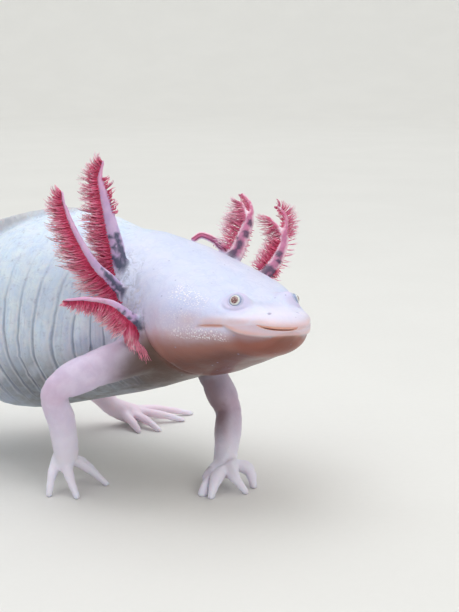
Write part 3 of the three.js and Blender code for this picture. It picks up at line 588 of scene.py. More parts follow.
class Place:
    """Body coordinates of points: s behind the snout, x left, y up, angle from the back in degrees, and shares of limb, stalk and fin."""

    def __init__(self, P):
        self.P = P
        self.s, self.x, self.y = body_coords(P)
        s = self.s
        self.w, self.t, self.b = BODY_W(s), BODY_T(s), BODY_B(s)
        h = np.where(self.y > 0, self.t, self.b)
        self.angle = np.degrees(np.arctan2(np.abs(self.x) / self.w, self.y / h))
        n = BODY_N(s)
        self.r = ((np.abs(self.x) / self.w) ** n + (np.abs(self.y) / h) ** n) ** (1 / n)  # 1 on the body's own surface
        self.out = (self.r - 1) * np.minimum(self.w, h)  # about how far outside it
        self.fin = ramp(np.abs(self.y) - np.where(self.y > 0, self.t, self.b), 0.2, 2.2) * ramp(-np.abs(self.x), -5.0, -3.0) * ramp(s, 70, 82)
        self.limb = np.zeros(len(P))
        self.limb_t = np.zeros(len(P))
        self.limb_id = np.full(len(P), -1)
        for k, (name, leg) in enumerate(LEGS.items()):
            path, radii = leg_path(leg)
            self._tube(path, radii, k, len(leg["line"]) - 1)
        self.toe_t = np.zeros(len(P))
        for leg in LEGS.values():
            for k in range(len(leg["toes"])):
                tp, tr, _ = toe_path(leg, k)
                t, d, r = self._near(tp, tr, 40)
                m = ramp(-d / np.maximum(r, 0.5), -2.2, -1.5)
                self.toe_t = np.maximum(self.toe_t, m * t)
                self.limb = np.maximum(self.limb, m)
        # gill stalks: share, place along, place across (1 at the back edge, -1 at the front), which side, stripes of the bare one
        self.stalk = np.zeros(len(P))
        self.stalk_t = np.zeros(len(P))
        self.stalk_a = np.zeros(len(P))
        self.far = np.zeros(len(P))
        self.stripe = np.zeros(len(P))
        self.edge = np.zeros(len(P))
        self.axis_out = np.full(len(P), -999.0)
        for key in GILLS:
            for k, (path, size, back) in enumerate(stalk_tubes(key)):
                t, d, r = self._near(path, size, 90, reach=6)
                m = ramp(-(d - r), -3.0, -1.2)
                i = np.flatnonzero(m > self.stalk)
                q = path(t[i])
                g = unit(path(np.minimum(t[i] + 2e-3, 1)) - path(np.maximum(t[i] - 2e-3, 0)))
                side = unit(back - g * (g @ back)[:, None])
                e = P[i] - q
                self.axis_out[i] = q @ np.array([-0.8387, -0.5446, 0.0])
                self.stalk_a[i] = np.clip((e * side).sum(1) / size(t[i])[0], -1.6, 1.6)
                self.stalk_t[i] = t[i] if k == 0 else 0.55 + 0.45 * t[i]
                self.far[i] = 1.0 if key.startswith("left") else 0.0
                # edge: where a painted rim highlight goes, along both sides of the far stalks as seen from the front
                # right
                across = unit(np.cross(g, np.array([-0.824, -0.535, 0.187])))
                lane = (e * across).sum(1) / np.mean(size(t[i]), axis=0)
                self.edge[i] = ramp(np.abs(lane), 0.48, 0.92) if key.startswith("left") else 0.0
                if key == "left_upper":
                    # two dark lines along the face that looks to the right front
                    self.stripe[i] = hump(np.abs(lane + 0.08), 0.46, 0.17) * ramp(self.out[i], 0.6, 2.0)
                else:
                    self.stripe[i] = 0.0
                self.stalk[i] = m[i]
        self.stalk *= ramp(self.out, 0.3, 2.2)

    def _near(self, path, radii, steps, reach=4):
        tt = np.linspace(0, 1, steps)
        q = path(tt)
        r = np.maximum(*radii(tt))
        lo, hi = q.min(0) - r.max() - reach, q.max(0) + r.max() + reach
        box = ((self.P > lo) & (self.P < hi)).all(1)
        t, d, rr = np.zeros(len(self.P)), np.full(len(self.P), 1e3), np.ones(len(self.P))
        idx = np.flatnonzero(box)
        for a in range(0, len(idx), 20000):
            ii = idx[a : a + 20000]
            D = np.sqrt(((self.P[ii][:, None] - q[None]) ** 2).sum(-1))
            j = D.argmin(1)
            t[ii], d[ii], rr[ii] = tt[j], D[np.arange(len(ii)), j], r[j]
        return t, d, rr

    def _tube(self, path, radii, k, n):
        t, d, r = self._near(path, radii, 90, 5)
        m = ramp(-d / r, -1.45, -1.1) * ramp(self.out, 0.3, 4.0) * ramp(t * n, 0.6, 1.6)
        own = m > self.limb
        self.limb_t = np.where(own, t * n, self.limb_t)
        self.limb_id = np.where(own, k, self.limb_id)
        self.limb = np.maximum(self.limb, m)

# ------------------------------------------------------------------ the face and folds, as moves of the skin
def lens(x):
    """Top and bottom of the parted lips, by distance to the left of the middle plane."""
    top = np.interp(x, [-10.6, -10.3, -8.5, -5.6, -2.1, 0.4, 1.7], [1.5, 1.68, 1.9, 2.15, 2.15, 1.85, 1.5])
    bottom = np.interp(x, [-10.6, -9.4, -8.0, -6.0, -3.2, -0.4, 0.9, 1.7], [1.48, 0.8, 0.42, 0.2, 0.1, 0.2, 0.6, 1.48])
    return top, bottom

MOUTH_Y = keyed([(0, 0.9), (3, 1.3), (5.7, 1.5), (9.5, 0.7), (13.9, 0.0), (17.3, -0.4), (21, -1.0), (24, -1.9)], 1)
LIP_Y = keyed([(0, -1.2), (0.8, -1.4), (2.4, -1.7), (4.7, -1.8), (8.5, -1.5), (10.3, -1.2), (11.9, -0.6), (13.9, 0.0), (16, 0.2)], 1)
FOLD_A = [84, 100, 115, 125, 138, 159, 180]
FOLD_S = [50.0, 48.6, 46.6, 44.6, 41.6, 41.2, 41.6]

def face(pl, P, N, fine):
    """Moves of the head's skin (n, 3). fine adds what only the close mesh can hold."""
    s, x, y = pl.s, pl.x, pl.y
    ax = np.abs(x)
    p, f, l, u = spine(s)
    move = np.zeros_like(P)
    head = ramp(-s, -62, -46)
    d = np.zeros(len(P))
    side = ramp(pl.angle, 50, 75) * ramp(-pl.angle, -150, -125)
    # jaw muscles, temples, the flat brow between the eyes, the hollow before each eye
    d += 1.0 * hump(s, 35, 9) * hump(pl.angle, 92, 26)
    d += 0.7 * hump(s, 27, 7) * hump(pl.angle, 42, 18)
    d -= 0.55 * hump(s, 15, 6) * hump(ax, 0, 6.0) * (y > 0)
    d -= 0.18 * hump(s, 9.5, 3) * hump(ax, 7.6, 2.4) * (y > 0)
    d += 0.25 * hump(s, 5, 3) * hump(ax, 0, 6) * (y > 0)
    d -= 0.3 * hump(s, 24, 4) * hump(pl.angle, 62, 10)
    # upper lip's swell, from the snout back to the corner of the mouth
    ym = MOUTH_Y(s)
    d += 0.34 * hump(y, ym + 1.9, 1.3) * ramp(-s, -22, -15) * ramp(s, 2.0, 6.0)
    # lower lip: a soft band that overhangs the throat, its edge falling from the corner of the mouth
    yl = LIP_Y(s)
    band = ramp(-s, -15.0, -12.4)
    below = yl - y
    d += band * (0.30 * ramp(s, 1.5, 6.0) - 0.10) * np.where(below < 0, np.exp(-((below / 1.4) ** 2)), np.exp(-((below / 0.5) ** 2)))
    d -= band * 0.5 * ramp(below, -0.1, 1.4) * np.exp(-np.maximum(below - 0.9, 0) / 3.0)
    d -= 0.42 * (1 - band) * ramp(-s, -24, -19.5) * hump(y, ym - 0.3, 0.6)
    d += 0.30 * (1 - band) * ramp(-s, -27, -22) * hump(y, ym - 1.8, 1.3)
    # the lower jaw ends a little behind the snout
    move -= f * (1.5 * ramp(ym - y, -0.1, 1.5) * ramp(-s, -9, -1.5))[:, None]
    # gular fold and the rear edge of the cheeks
    sg = np.interp(pl.angle, FOLD_A, FOLD_S)
    g = ramp(pl.angle, 88, 112)
    d += g * (0.65 * np.exp(-((np.minimum(s - sg + 2.6, 0) / 3.8) ** 2)) * np.exp(-((np.maximum(s - sg + 2.6, 0) / 1.6) ** 2)) - 1.0 * hump(s, sg, 0.95))
    for sf, a0, a1, k in ((55.0, 108, 150, 0.45), (59.0, 104, 160, 0.5), (63.0, 60, 120, 0.35), (57.5, 0, 38, 0.16), (61.5, 0, 46, 0.22), (65.5, 0, 52, 0.22), (69.2, 0, 50, 0.2)):
        wob = 0.8 * np.sin(pl.angle / 17.0 + sf)
        mask = ramp(pl.angle, a0 - 10, a0 + 8) * ramp(-pl.angle, -a1 - 8, -a1 + 12) if a0 > 0 else ramp(-pl.angle, -a1 - 8, -a1 + 14)
        d -= mask * k * hump(s, sf + wob, 0.75)
        d += mask * k * 0.5 * hump(s, sf + wob - 2.0, 1.3)
    # eyes: a snug rim, a crease below
    for sd in (-1, 1):
        c = on_body(EYE_AT, sd * EYE_SIDE, EYE_UP)
        m = eye_mound(sd)
        axis = unit(c - m)
        e = P - c
        along = e @ axis
        rad = np.linalg.norm(e - along[:, None] * axis, axis=1)
        near = (np.linalg.norm(e, axis=1) < 9) & (x * sd > 0)
        # below: straight down on the skin, away from the eye
        dn = unit(-u + axis * (u @ axis)[:, None])
        fw = unit(f - axis * (f @ axis)[:, None])
        ev, ef = (e * dn).sum(1), (e * fw).sum(1)
        arc = np.hypot(ev, ef * 0.82)
        under = near * ramp(ev / np.maximum(arc, 1e-6), 0.15, 0.75)
        d -= under * 0.17 * hump(arc, 3.55, 0.5)
        d += under * 0.12 * hump(arc, 4.6, 0.8)
        d += under * 0.12 * hump(arc, 2.75, 0.45)
        over = near * ramp(-ev / np.maximum(arc, 1e-6), 0.2, 0.8)
        d -= over * 0.12 * hump(arc, 3.7, 0.5)
        if fine:
            hole = 1.86
            d += near * 0.12 * np.exp(-(((rad - hole - 0.26) / 0.26) ** 2)) * (along > -0.5)
            move -= axis * (near * (along > -1.2) * ramp(-rad, -hole + 0.02, -hole + 0.34) * 1.1)[:, None]
    # nostrils
    for sd in (-1, 1):
        q = np.hypot((s - 6.1) / 0.95, (x - sd * 5.4) / 1.05)
        top = y > 1.5
        d -= top * 0.42 * np.exp(-((q / 0.5) ** 2)) * (1 if fine else 0.4)
        d += top * 0.14 * np.exp(-(((q - 0.85) / 0.35) ** 2))
    if fine:
        # closed line of the mouth: back to the corner on both sides, and round the front on the left
        d -= 0.34 * hump(y, ym, 0.24) * ramp(-s, -22.5, -20) * ramp(s, 13, 15.5) * ramp(pl.angle, 40, 60)
        d -= 0.22 * hump(y, ym, 0.28) * ramp(x, 1.5, 2.6) * ramp(-s, -15, -12)
        # parted lips
        top, bottom = lens(x)
        gap = np.maximum(top - bottom, 1e-3)
        q = (top - y) / gap
        front = ramp(-s, -9, -6.5) * (x > -10.6) * (x < 1.7)
        deep = 0.92 * np.minimum(gap / 1.5, 1.0) ** 0.8
        cut = np.where(q < 1, np.clip(q, 0, 1) ** 1.8, np.clip(1 - (bottom - y) / 0.26, 0, 1) ** 1.5) * (q > 0)
        turn = np.exp(-((ax / 9.0) ** 2))[:, None]
        inward = -unit(f * turn + l * (np.sign(x)[:, None] * (1 - turn)))
        amount = cut * deep * front
        move += inward * amount[:, None]
        pl.gape = amount
        pl.gape_q = np.where(front > 0, np.clip(q, 0, 1.3), 0)
    return move + N * (d * head + 0.0)[:, None]

def hide_folds(pl):
    """Costal grooves, tail segments, creases of the limbs: distance along the normal."""
    s, a = pl.s, pl.angle
    d = np.zeros(len(s))
    body = (1 - pl.limb) * (1 - pl.stalk) * (1 - pl.fin)
    lean = 0.155 * np.maximum(112 - a, 0)
    wob = 0.35 * noise(np.stack([s / 9, a / 22, np.sign(pl.x) * 3], 1), 5)
    crease = np.zeros(len(s))
    # ridge: where a painted highlight goes on the colour, just behind each groove
    ridge = np.zeros(len(s))
    for k, S in enumerate(GROOVES):
        slope = ramp(S, 68, 92)
        c = S - lean * slope + wob
        m = ramp(a, 34, 74) * ramp(-a, -158, -132) * (0.45 + 0.55 * ramp(a, 60, 95))
        amp = 1.2 * (0.7 + 0.3 * ramp(S, 66, 80)) * (1 - 0.35 * ramp(S, 120, 142))
        g = hump(s, c, 0.62)
        crease = np.maximum(crease, g * m)
        d -= m * amp * (0.66 * g + 0.34 * hump(s, c, 1.7))
        ridge = np.maximum(ridge, m * hump(s, c + 1.5, 0.8))
        d += m * amp * 0.42 * hump(s, c + 2.9, 1.9)
        # a finer line between each pair
        c2 = c + 3.3 + 0.5 * np.sin(a / 13 + k)
        d -= m * 0.26 * hump(s, c2, 0.42) * ramp(a, 60, 90)
        crease = np.maximum(crease, 0.32 * m * hump(s, c2, 0.42) * ramp(a, 60, 90))
    for k, S in enumerate(TAIL_GROOVES):
        c = S - 2.2 * ramp(-np.abs(a - 90), -60, 0) + 1.1
        m = ramp(a, 28, 52) * ramp(-a, -152, -126) * ramp(s, 143, 152) * ramp(-s, -228, -196)
        d -= m * 0.42 * hump(s, c, 0.8)
        d += m * 0.16 * hump(s, c + 3.2, 2.0)
    # lateral furrow of the tail, hollow line over the spine of the back
    d -= 0.35 * ramp(s, 146, 160) * ramp(-s, -250, -225) * hump(a, 90, 7)
    d -= 0.3 * ramp(s, 40, 55) * ramp(-s, -92, -78) * hump(pl.x, 0, 2.2) * (pl.y > 0)
    # fine wrinkles of the trunk, mostly across it
    q = np.stack([s * 0.85 + lean * 0.9, a / 26, np.sign(pl.x) * 7.0], 1)
    d += (0.15 * noise(q, 11) + 0.08 * noise(q * 2.1, 12)) * ramp(s, 52, 70) * ramp(-s, -160, -146) * 1.1
    d *= body
    # soft unevenness everywhere
    d += 0.10 * noise(pl.P / 5.5, 21) * (1 - 0.75 * pl.stalk) * (1 - 0.6 * pl.toe_t)
    # fins: faint rays
    d += pl.fin * 0.07 * np.sin(s * 2.4 + 0.6 * np.sin(pl.y / 3)) * ramp(s, 76, 90)
    # limbs: creases at elbow, wrist and round the digits
    for k, leg in enumerate(LEGS.values()):
        own = (pl.limb_id == k) * pl.limb
        t = pl.limb_t
        for tt, amp, w in ((2.75, 0.22, 0.05), (3.0, 0.34, 0.06), (3.22, 0.22, 0.05), (4.75, 0.16, 0.06), (5.0, 0.26, 0.06), (5.25, 0.16, 0.06), (1.7, 0.2, 0.07), (1.95, 0.22, 0.07)):
            d -= own * amp * hump(t + 0.05 * noise(pl.P / 3.0, 31), tt, w)
        d += own * (0.5 * hump(t, 2.4, 0.35) + 0.35 * hump(t, 3.9, 0.4))
    tt = pl.toe_t
    for c in (0.36, 0.42, 0.62, 0.67, 0.84):
        d -= (tt > 0) * 0.07 * hump(tt, c, 0.018)
    # a smooth count of the grooves, which the skin's colours and relief are drawn from: whole numbers lie in the grooves
    S = s.copy()
    for _ in range(4):
        S = s + lean * ramp(S, 68, 92) - wob
    pl.costal = np.interp(S, GROOVES, np.arange(1.0, len(GROOVES) + 1)) + np.minimum(S - GROOVES[0], 0) / 6.0 + np.maximum(S - GROOVES[-1], 0) / 7.0
    tail = 13 + (s + 2.2 * ramp(-np.abs(a - 90), -60, 0) - 1.1 - TAIL_GROOVES[0]) / 6.6
    behind = ramp(s, 141, 147)
    pl.costal = pl.costal * (1 - behind) + tail * behind
    pl.costal_m = 0.34 * body * ramp(a, 28, 52) * ramp(-a, -152, -126) * ramp(s, 145, 154) * ramp(-s, -228, -196)
    pl.costal_m += body * ramp(a, 34, 66) * ramp(-a, -154, -126) * (0.4 + 0.6 * ramp(a, 60, 92)) * ramp(S, 61, 66) * ramp(-S, -150, -139)
    pl.crease = crease * body
    pl.ridge = ridge * body
    return d

# ------------------------------------------------------------------ masks for the colours
# dark blotches of the gill stalks in the spine's frame less ORIGIN: x, y, z and half size
SPOTS = {
    "right_upper": [(-12.6, -51.7, 85.4, 1.05), (-12.1, -52.0, 83.4, 1.1), (-11.5, -52.5, 81.1, 1.2), (-10.8, -53.0, 78.9, 1.4), (-9.9, -53.3, 77.0, 1.3),
                    (-13.8, -49.9, 85.1, 0.8), (-13.1, -50.7, 81.5, 0.75), (-13.0, -50.2, 78.5, 0.8), (-12.4, -51.5, 76.9, 1.3), (-11.7, -52.4, 75.6, 1.4)],
    "right_middle": [(-21.2, -52.6, 75.6, 0.6), (-20.0, -53.2, 74.2, 0.85), (-18.9, -53.9, 72.7, 1.0), (-17.6, -54.5, 71.1, 1.15), (-16.3, -55.1, 69.6, 1.2),
                     (-15.3, -55.6, 68.4, 1.1), (-18.3, -51.9, 70.1, 0.7), (-17.2, -53.1, 68.6, 0.9), (-15.8, -54.0, 66.8, 1.2), (-14.4, -54.9, 65.1, 1.5)],
    "right_lower": [(-25.9, -62.2, 64.5, 0.55), (-23.7, -62.7, 63.1, 0.75), (-21.1, -63.0, 61.2, 0.8), (-18.5, -63.0, 59.0, 1.3), (-17.1, -63.3, 58.3, 1.4),
                    (-16.2, -63.5, 57.8, 1.3), (-19.6, -63.2, 62.3, 0.5)],
    "left_middle": [(34.9, -72.6, 86.1, 1.0), (32.3, -72.7, 82.4, 1.15), (30.0, -70.4, 81.3, 0.65), (29.4, -71.9, 79.5, 1.35), (28.6, -71.9, 78.4, 0.95),
                    (26.7, -71.0, 76.6, 1.5), (25.9, -70.8, 75.5, 1.4)],
    "left_lower": [(37.8, -82.4, 75.8, 1.3), (36.4, -83.4, 73.4, 0.95), (32.0, -81.5, 71.3, 1.6), (30.9, -81.1, 70.4, 1.4), (33.5, -83.4, 69.4, 1.3),
                   (32.1, -83.0, 68.9, 1.3)],
}

def spots_of(pl, P):
    """Blotches: a soft-edged, ragged patch round each place, longer up the stalk than across; the hidden sides get some at random."""
    m = np.zeros(len(P))
    wob = 0.26 * noise(P / 1.3, 41) + 0.2 * noise(P / 0.6, 42)
    up = np.array([0.0, 0.1, 0.99])
    for key, rows in SPOTS.items():
        for x, y, z, r in rows:
            e = P - np.array([x, y, z])
            h = e @ up
            d = np.sqrt(np.maximum((e * e).sum(1) - h * h, 0) + (h / 1.15) ** 2) / r
            m = np.maximum(m, ramp(-(d + wob), -1.14, -0.84))
    hidden = ramp(-(P @ np.array([-0.8387, -0.5446, 0.0]) - pl.axis_out), -0.2, 0.6)
    more = ramp(noise(P / 2.3, 43) + 0.4 * noise(P / 0.9, 44), 0.34, 0.55) * ramp(-pl.stalk_t, -0.5, -0.35) * hidden
    return np.maximum(m, more * pl.stalk)

def skin_masks(o, P):
    pl = Place(P)
    N = np.zeros_like(P)
    NV = np.zeros(len(P) * 3, np.float32)
    o.data.vertices.foreach_get("normal", NV)
    NV = NV.reshape(-1, 3).astype(float)
    hide_folds(pl)
    face(pl, P, N, True)
    s, a, x, y = pl.s, pl.angle, pl.x, pl.y
    ym, yl = MOUTH_Y(s), LIP_Y(s)
    head = ramp(-s, -62, -44) * (1 - pl.limb) * (1 - pl.stalk)
    lip = ramp(pl.gape, 0.02, 0.3)
    front = ramp(-s, -9, -4)
    corner = ramp(s, 12.5, 15.5) * ramp(-s, -23.5, -19)
    line = hump(y, ym - 0.05, 0.62) * corner * 0.95
    halo = np.where(y > ym, hump(y, ym + 0.7, 0.9), 0.25) * front * 0.42 * ramp(y, ym - 0.6, ym) + 0.36 * hump(y, ym + 0.9, 1.7) * corner
    halo = np.maximum(halo, 0.30 * hump(y, ym + 1.0, 1.3) * ramp(s, 6, 9) * ramp(-s, -17, -12))
    halo = np.maximum(halo, 0.26 * hump(s, 24.5, 3.2) * hump(y, ym + 2.2, 2.6))
    edge = hump(y, yl + 0.1, 0.8) * (0.45 + 0.55 * ramp(s, 3, 8)) * ramp(-s, -15.5, -12.5) * 0.62
    tipping = 0.45 * ramp(-s, -2.6, -0.4) * ramp(y, -0.6, 0.6) * ramp(-y, -3.4, -1.6)
    attribute(o, "lip", np.clip(np.maximum.reduce([lip, line, halo, edge, tipping]) * (head > 0.02), 0, 1))
    # gape: depth of the parted lips; its deepest part carries a painted shade
    attribute(o, "gape", np.clip(pl.gape / 1.2, 0, 1))
    lower = ramp(-s, -15, -12.5) * ramp(y, yl - 0.3, yl + 0.35) * ramp(-y, -ym - 0.1, -ym + 0.5)
    attribute(o, "lowerlip", lower * (head > 0.02))
    muzzle = ramp(-s, -27, -14) * ramp(y, yl - 0.4, yl + 0.5) * ramp(-y, -(ym + 4.4), -(ym + 0.8))
    attribute(o, "muzzle", muzzle * (head > 0.02))
    # where painted light goes: the top of the snout made paler as if the light falls on it
    attribute(o, "snout", ramp(-s, -17, -6) * ramp(y, ym + 1.2, ym + 3.6) * (head > 0.02))
    attribute(o, "cheek", hump(s, 27, 11) * hump(a, 66, 20) * (head > 0.02))
    # painted shade along the closed line of the mouth behind the parted lips
    mouth_line_shade = hump(y, ym - 0.02, 0.2) * ramp(-s, -22.5, -17) * ramp(s, 15, 18) * 0.4
    eye = np.zeros(len(P))
    rim = np.zeros(len(P))
    for sd in (-1, 1):
        c = on_body(EYE_AT, sd * EYE_SIDE, EYE_UP)
        d = np.linalg.norm(P - c, axis=1) * np.where(x * sd > 0, 1, 99)
        eye = np.maximum(eye, ramp(-d, -6.5, -2.4))
        rim = np.maximum(rim, ramp(-d, -2.72, -2.35))
    attribute(o, "eyezone", eye)
    attribute(o, "eyerim", rim)
    q = np.hypot((s - 6.1) / 0.95, (np.abs(x) - 5.4) / 1.05)
    attribute(o, "nostril", ramp(-q, -0.85, -0.3) * (y > 1.5) * (s < 9))
    attribute(o, "crease", np.clip(pl.crease + mouth_line_shade, 0, 1))
    hind = np.isin(pl.limb_id, [k for k, n in enumerate(LEGS) if n.startswith("hind")])
    tint = pl.limb * np.where(hind, ramp(pl.limb_t, 0.7, 2.3), ramp(pl.limb_t, 0.2, 1.2))
    attribute(o, "limb", np.clip(np.maximum(tint, pl.limb * (pl.toe_t > 0)), 0, 1))
    attribute(o, "toe", pl.toe_t)
    attribute(o, "joint", np.clip(hump(pl.limb_t, 3.0, 0.35) + hump(pl.limb_t, 5.0, 0.3), 0, 1) * pl.limb)
    attribute(o, "stalk", pl.stalk)
    attribute(o, "stalk_t", pl.stalk_t)
    attribute(o, "stalk_far", pl.far)
    attribute(o, "stalk_rim_highlight", pl.edge * pl.stalk)
    attribute(o, "stalk_back", ramp(pl.stalk_a, 0.25, 0.95) * pl.stalk)
    attribute(o, "stripe", pl.stripe * pl.stalk)
    attribute(o, "fin", pl.fin * (1 - pl.limb))
    attribute(o, "head", head)
    cheek = hump(s, 28, 15) * hump(a, 96, 26) * head + 0.8 * hump(s, 60, 16) * hump(a, 104, 22) * (1 - pl.stalk)
    attribute(o, "flush", np.clip(cheek, 0, 1))
    attribute(o, "ridge", np.clip(pl.ridge, 0, 1))
    # painted shade under the neck, behind the throat
    attribute(o, "neck_shade", ramp(s, 40, 48) * ramp(-s, -78, -60) * ramp(a, 100, 122) * (1 - 0.9 * pl.limb * ramp(pl.limb_t, 1.1, 2.1)))
    attribute(o, "costal", pl.costal)
    attribute(o, "costal_m", pl.costal_m)
    attribute(o, "round", a / 24.0 + 13.0 * (x > 0))
    attribute(o, "hand", np.maximum(ramp(pl.limb_t, 2.8, 5.4), pl.toe_t > 0) * pl.limb)
    # painted shade on the upper far foreleg, strongest where its normal faces the camera's left
    attribute(o, "farlimb_shade", (pl.limb_id == list(LEGS).index("fore_left")) * pl.limb * ramp(-pl.limb_t, -5.0, -3.4) * (0.25 + 0.75 * ramp(NV @ np.array([-0.5446, 0.8387, 0.0]), -0.45, 0.55)))
    attribute(o, "hindlimb", ramp(s, 92, 104) * pl.limb)
    # painted shade darkening the underside of the head and trunk
    attribute(o, "under", ramp(a, 98, 132) * (1 - pl.limb) * (1 - pl.stalk) * ramp(-s, -150, -110))
    # the throat's colour is partly its own reddish brown, with blood showing through, and partly painted shade that
    # starts at the angle held in shade; the deeper mask below it is painted shade
    shade = np.interp(s, [2, 4.5, 10, 16, 22, 28, 34, 46], [128, 131, 121, 118, 119, 118, 115, 112])
    jaw = ramp(a, 94, 112) * ramp(s, 3, 14)
    attribute(o, "jaw", np.clip(jaw, 0, 1) * head)
    attribute(o, "throat", ramp(a - shade + 5 * ramp(-s, -17, -11), -10, 9) * head)
    attribute(o, "throat_deep_shade", ramp(a - shade, 1, 30) * head)
    # painted shade under the chin, which faces down
    chin_shade = ramp(-s, -14, -10) * ramp(yl - y, 0.0, 0.9)
    attribute(o, "chin_shade", np.clip(chin_shade, 0, 1) * head)
    attribute(o, "trunk", ramp(s, 58, 84) * (1 - pl.limb) * (1 - pl.stalk))
    one = ramp(s, 19.5, 24) * ramp(-s, -37, -33) * ramp(a, 41, 50) * ramp(-a, -71, -61) * (0.75 + 0.25 * ramp(s, 24, 28))
    two = ramp(s, 12.5, 15.5) * ramp(-s, -33, -27) * ramp(2.1 - np.abs(y + 3.4 + 0.05 * (s - 18)), 0.0, 0.9) * ramp(a, 86, 96)
    thin = 0.42 * hump(s, 27.5, 7) * hump(a, 84, 17)
    attribute(o, "spark", np.clip(np.maximum.reduce([one, two, thin]), 0, 1) * head)
    roots = np.zeros(len(P))
    for key in GILLS:
        c = gill_path(key)(np.array([0.17]))[0]
        roots = np.maximum(roots, ramp(-np.linalg.norm(P - c, axis=1), -7.5, -3.0))
    attribute(o, "root", roots * (1 - 0.6 * pl.stalk))
    attribute(o, "mottle", ramp(s, 50, 53.5) * ramp(-s, -63, -58) * ramp(a, 64, 72) * ramp(-a, -98, -88) * (1 - pl.limb))
    attribute(o, "spots", spots_of(pl, P))
    attribute(o, "flank", hump(a, 95, 40) * (1 - pl.limb))

# ------------------------------------------------------------------ the skin
def make_skin():
    make_field()
    print("field", round(time.perf_counter() - T0, 1))
    P, F = extract()
    P, F = largest(P, F)
    print("mesh", len(P), len(F), round(time.perf_counter() - T0, 1))
    E, _ = edges_of(F)
    flat = P[:, 2] < 0.06
    P = relax(P, E, 4)
    P[flat, 2] = 0
    P[:, 2] = np.maximum(P[:, 2], 0)
    # closer mesh on the face
    for k in range(2):
        s, x, y = body_coords(P)
        eye = np.minimum(*[np.linalg.norm(P - on_body(EYE_AT, sd * EYE_SIDE, EYE_UP), axis=1) for sd in (-1, 1)])
        if k == 0:
            m = (s < 24) & (np.abs(y) < 20)
        else:
            m = (eye < 5.0) | ((s < 9.5) & (y > -0.8) & (y < 2.9)) | ((s < 16) & (np.abs(y - LIP_Y(s)) < 0.9)) | (np.hypot(s - 6.1, np.abs(x) - 5.4) < 1.7) & (y > 1.5)
            m |= (s < 23) & (np.abs(y - MOUTH_Y(s)) < 0.7)
        bare = gill_path("left_upper")(np.linspace(0.08, 1, 70))
        inbox = np.flatnonzero(((P > bare.min(0) - 3) & (P < bare.max(0) + 3)).all(1))
        m[inbox] |= np.linalg.norm(P[inbox][:, None] - bare[None], axis=2).min(1) < 2.8
        n = len(P)
        P, F = refine(P, F, m[F].all(1))
        keep = np.zeros(len(P))
        keep[:n] = m
        keep[n:] = 1
        E, _ = edges_of(F)
        P = relax(P, E, 3, keep=keep)
    N = normals(P, F)
    pl = Place(P)
    print("places", len(P), len(F), round(time.perf_counter() - T0, 1))
    Q = P + N * hide_folds(pl)[:, None] + face(pl, P, N, True)
    Q[:, 2] = np.where(P[:, 2] < 0.02, 0, np.maximum(Q[:, 2], 0))
    E, _ = edges_of(F)
    Q = relax(Q, E, 1)
    Q[:, 2] = np.where(P[:, 2] < 0.02, 0, np.maximum(Q[:, 2], 0))
    o = mesh_object("axolotl_skin", Q, F)
    w = np.clip(1 - np.maximum.reduce([ramp(-pl.s, -27, -21), 0.6 * ramp(-pl.s, -60, -45), 0.55 * pl.limb, 0.75 * (pl.toe_t > 0), 0.75 * pl.stalk, 1.0 * (pl.stripe > 0.02), 0.9 * (pl.stalk > 0.3) * (pl.stalk_t < 0.55), 0.5 * pl.fin, 0.45 * pl.crease]), 0, 1)
    vg = o.vertex_groups.new(name="soft")
    level_of = np.round(w * 8).astype(int)
    for k in range(1, 9):
        vg.add(np.flatnonzero(level_of == k).tolist(), k / 8.0, "REPLACE")
    dec = o.modifiers.new("fewer", "DECIMATE")
    dec.ratio = min(1.0, 196000 / len(F))
    dec.vertex_group = "soft"
    dec.vertex_group_factor = 1.0
    dg = bpy.context.evaluated_depsgraph_get()
    me = bpy.data.meshes.new_from_object(o.evaluated_get(dg))
    o.modifiers.clear()
    o.vertex_groups.clear()
    old = o.data
    o.data = me
    bpy.data.meshes.remove(old)
    me.name = "axolotl_skin"
    me.polygons.foreach_set("use_smooth", np.ones(len(me.polygons), bool))
    print("skin", len(o.data.vertices), len(o.data.polygons), round(time.perf_counter() - T0, 1))
    skin_masks(o, coords_of(o))
    print("masks", round(time.perf_counter() - T0, 1))
    return o

# ------------------------------------------------------------------ eyes
def make_eye(name, side):
    """A closed eyeball: cornea swell, ring of the iris, pupil a little sunk. Attribute er is mm from the eye's axis."""
    c = on_body(EYE_AT, side * EYE_SIDE, EYE_UP)
    axis = unit(c - eye_mound(side))
    u = unit(np.cross(axis, [0.0, 0, 1]))
    v = np.cross(axis, u)
    th = np.concatenate([np.linspace(0.012, 0.85, 56), np.linspace(0.88, np.pi - 0.03, 36)])
    R = 2.18
    rad = R * np.sin(th)
    z = R * np.cos(th)
    front = z > 0
    z = z + front * (0.14 * np.exp(-((rad / 1.3) ** 2)))  # cornea
    z -= front * 0.05 * ramp(-rad, -1.24, -1.14)  # pupil
    z += front * 0.05 * hump(rad, 1.28, 0.08) - front * 0.06 * hump(rad, 1.76, 0.07)
    n = 96
    a = 2 * np.pi * np.arange(n) / n
    wave = 0.012 * np.sin(a * 23)[None] * hump(rad, 1.48, 0.16)[:, None] * front[:, None]
    R3 = c + axis * (z[:, None] + wave)[..., None] + u * (rad[:, None] * np.cos(a))[..., None] + v * (rad[:, None] * np.sin(a))[..., None]
    V, F = loft(R3)
    N = normals(V, F)
    if ((V - c) * N).sum() < 0:
        F = F[:, ::-1]
    o = mesh_object(name, V, F)
    e = V - c
    al = e @ axis
    er = np.linalg.norm(e - al[:, None] * axis, axis=1)
    attribute(o, "er", np.where(al > 0, er, 9.0))
    attribute(o, "ea", np.arctan2(e @ v, e @ u))
    return o

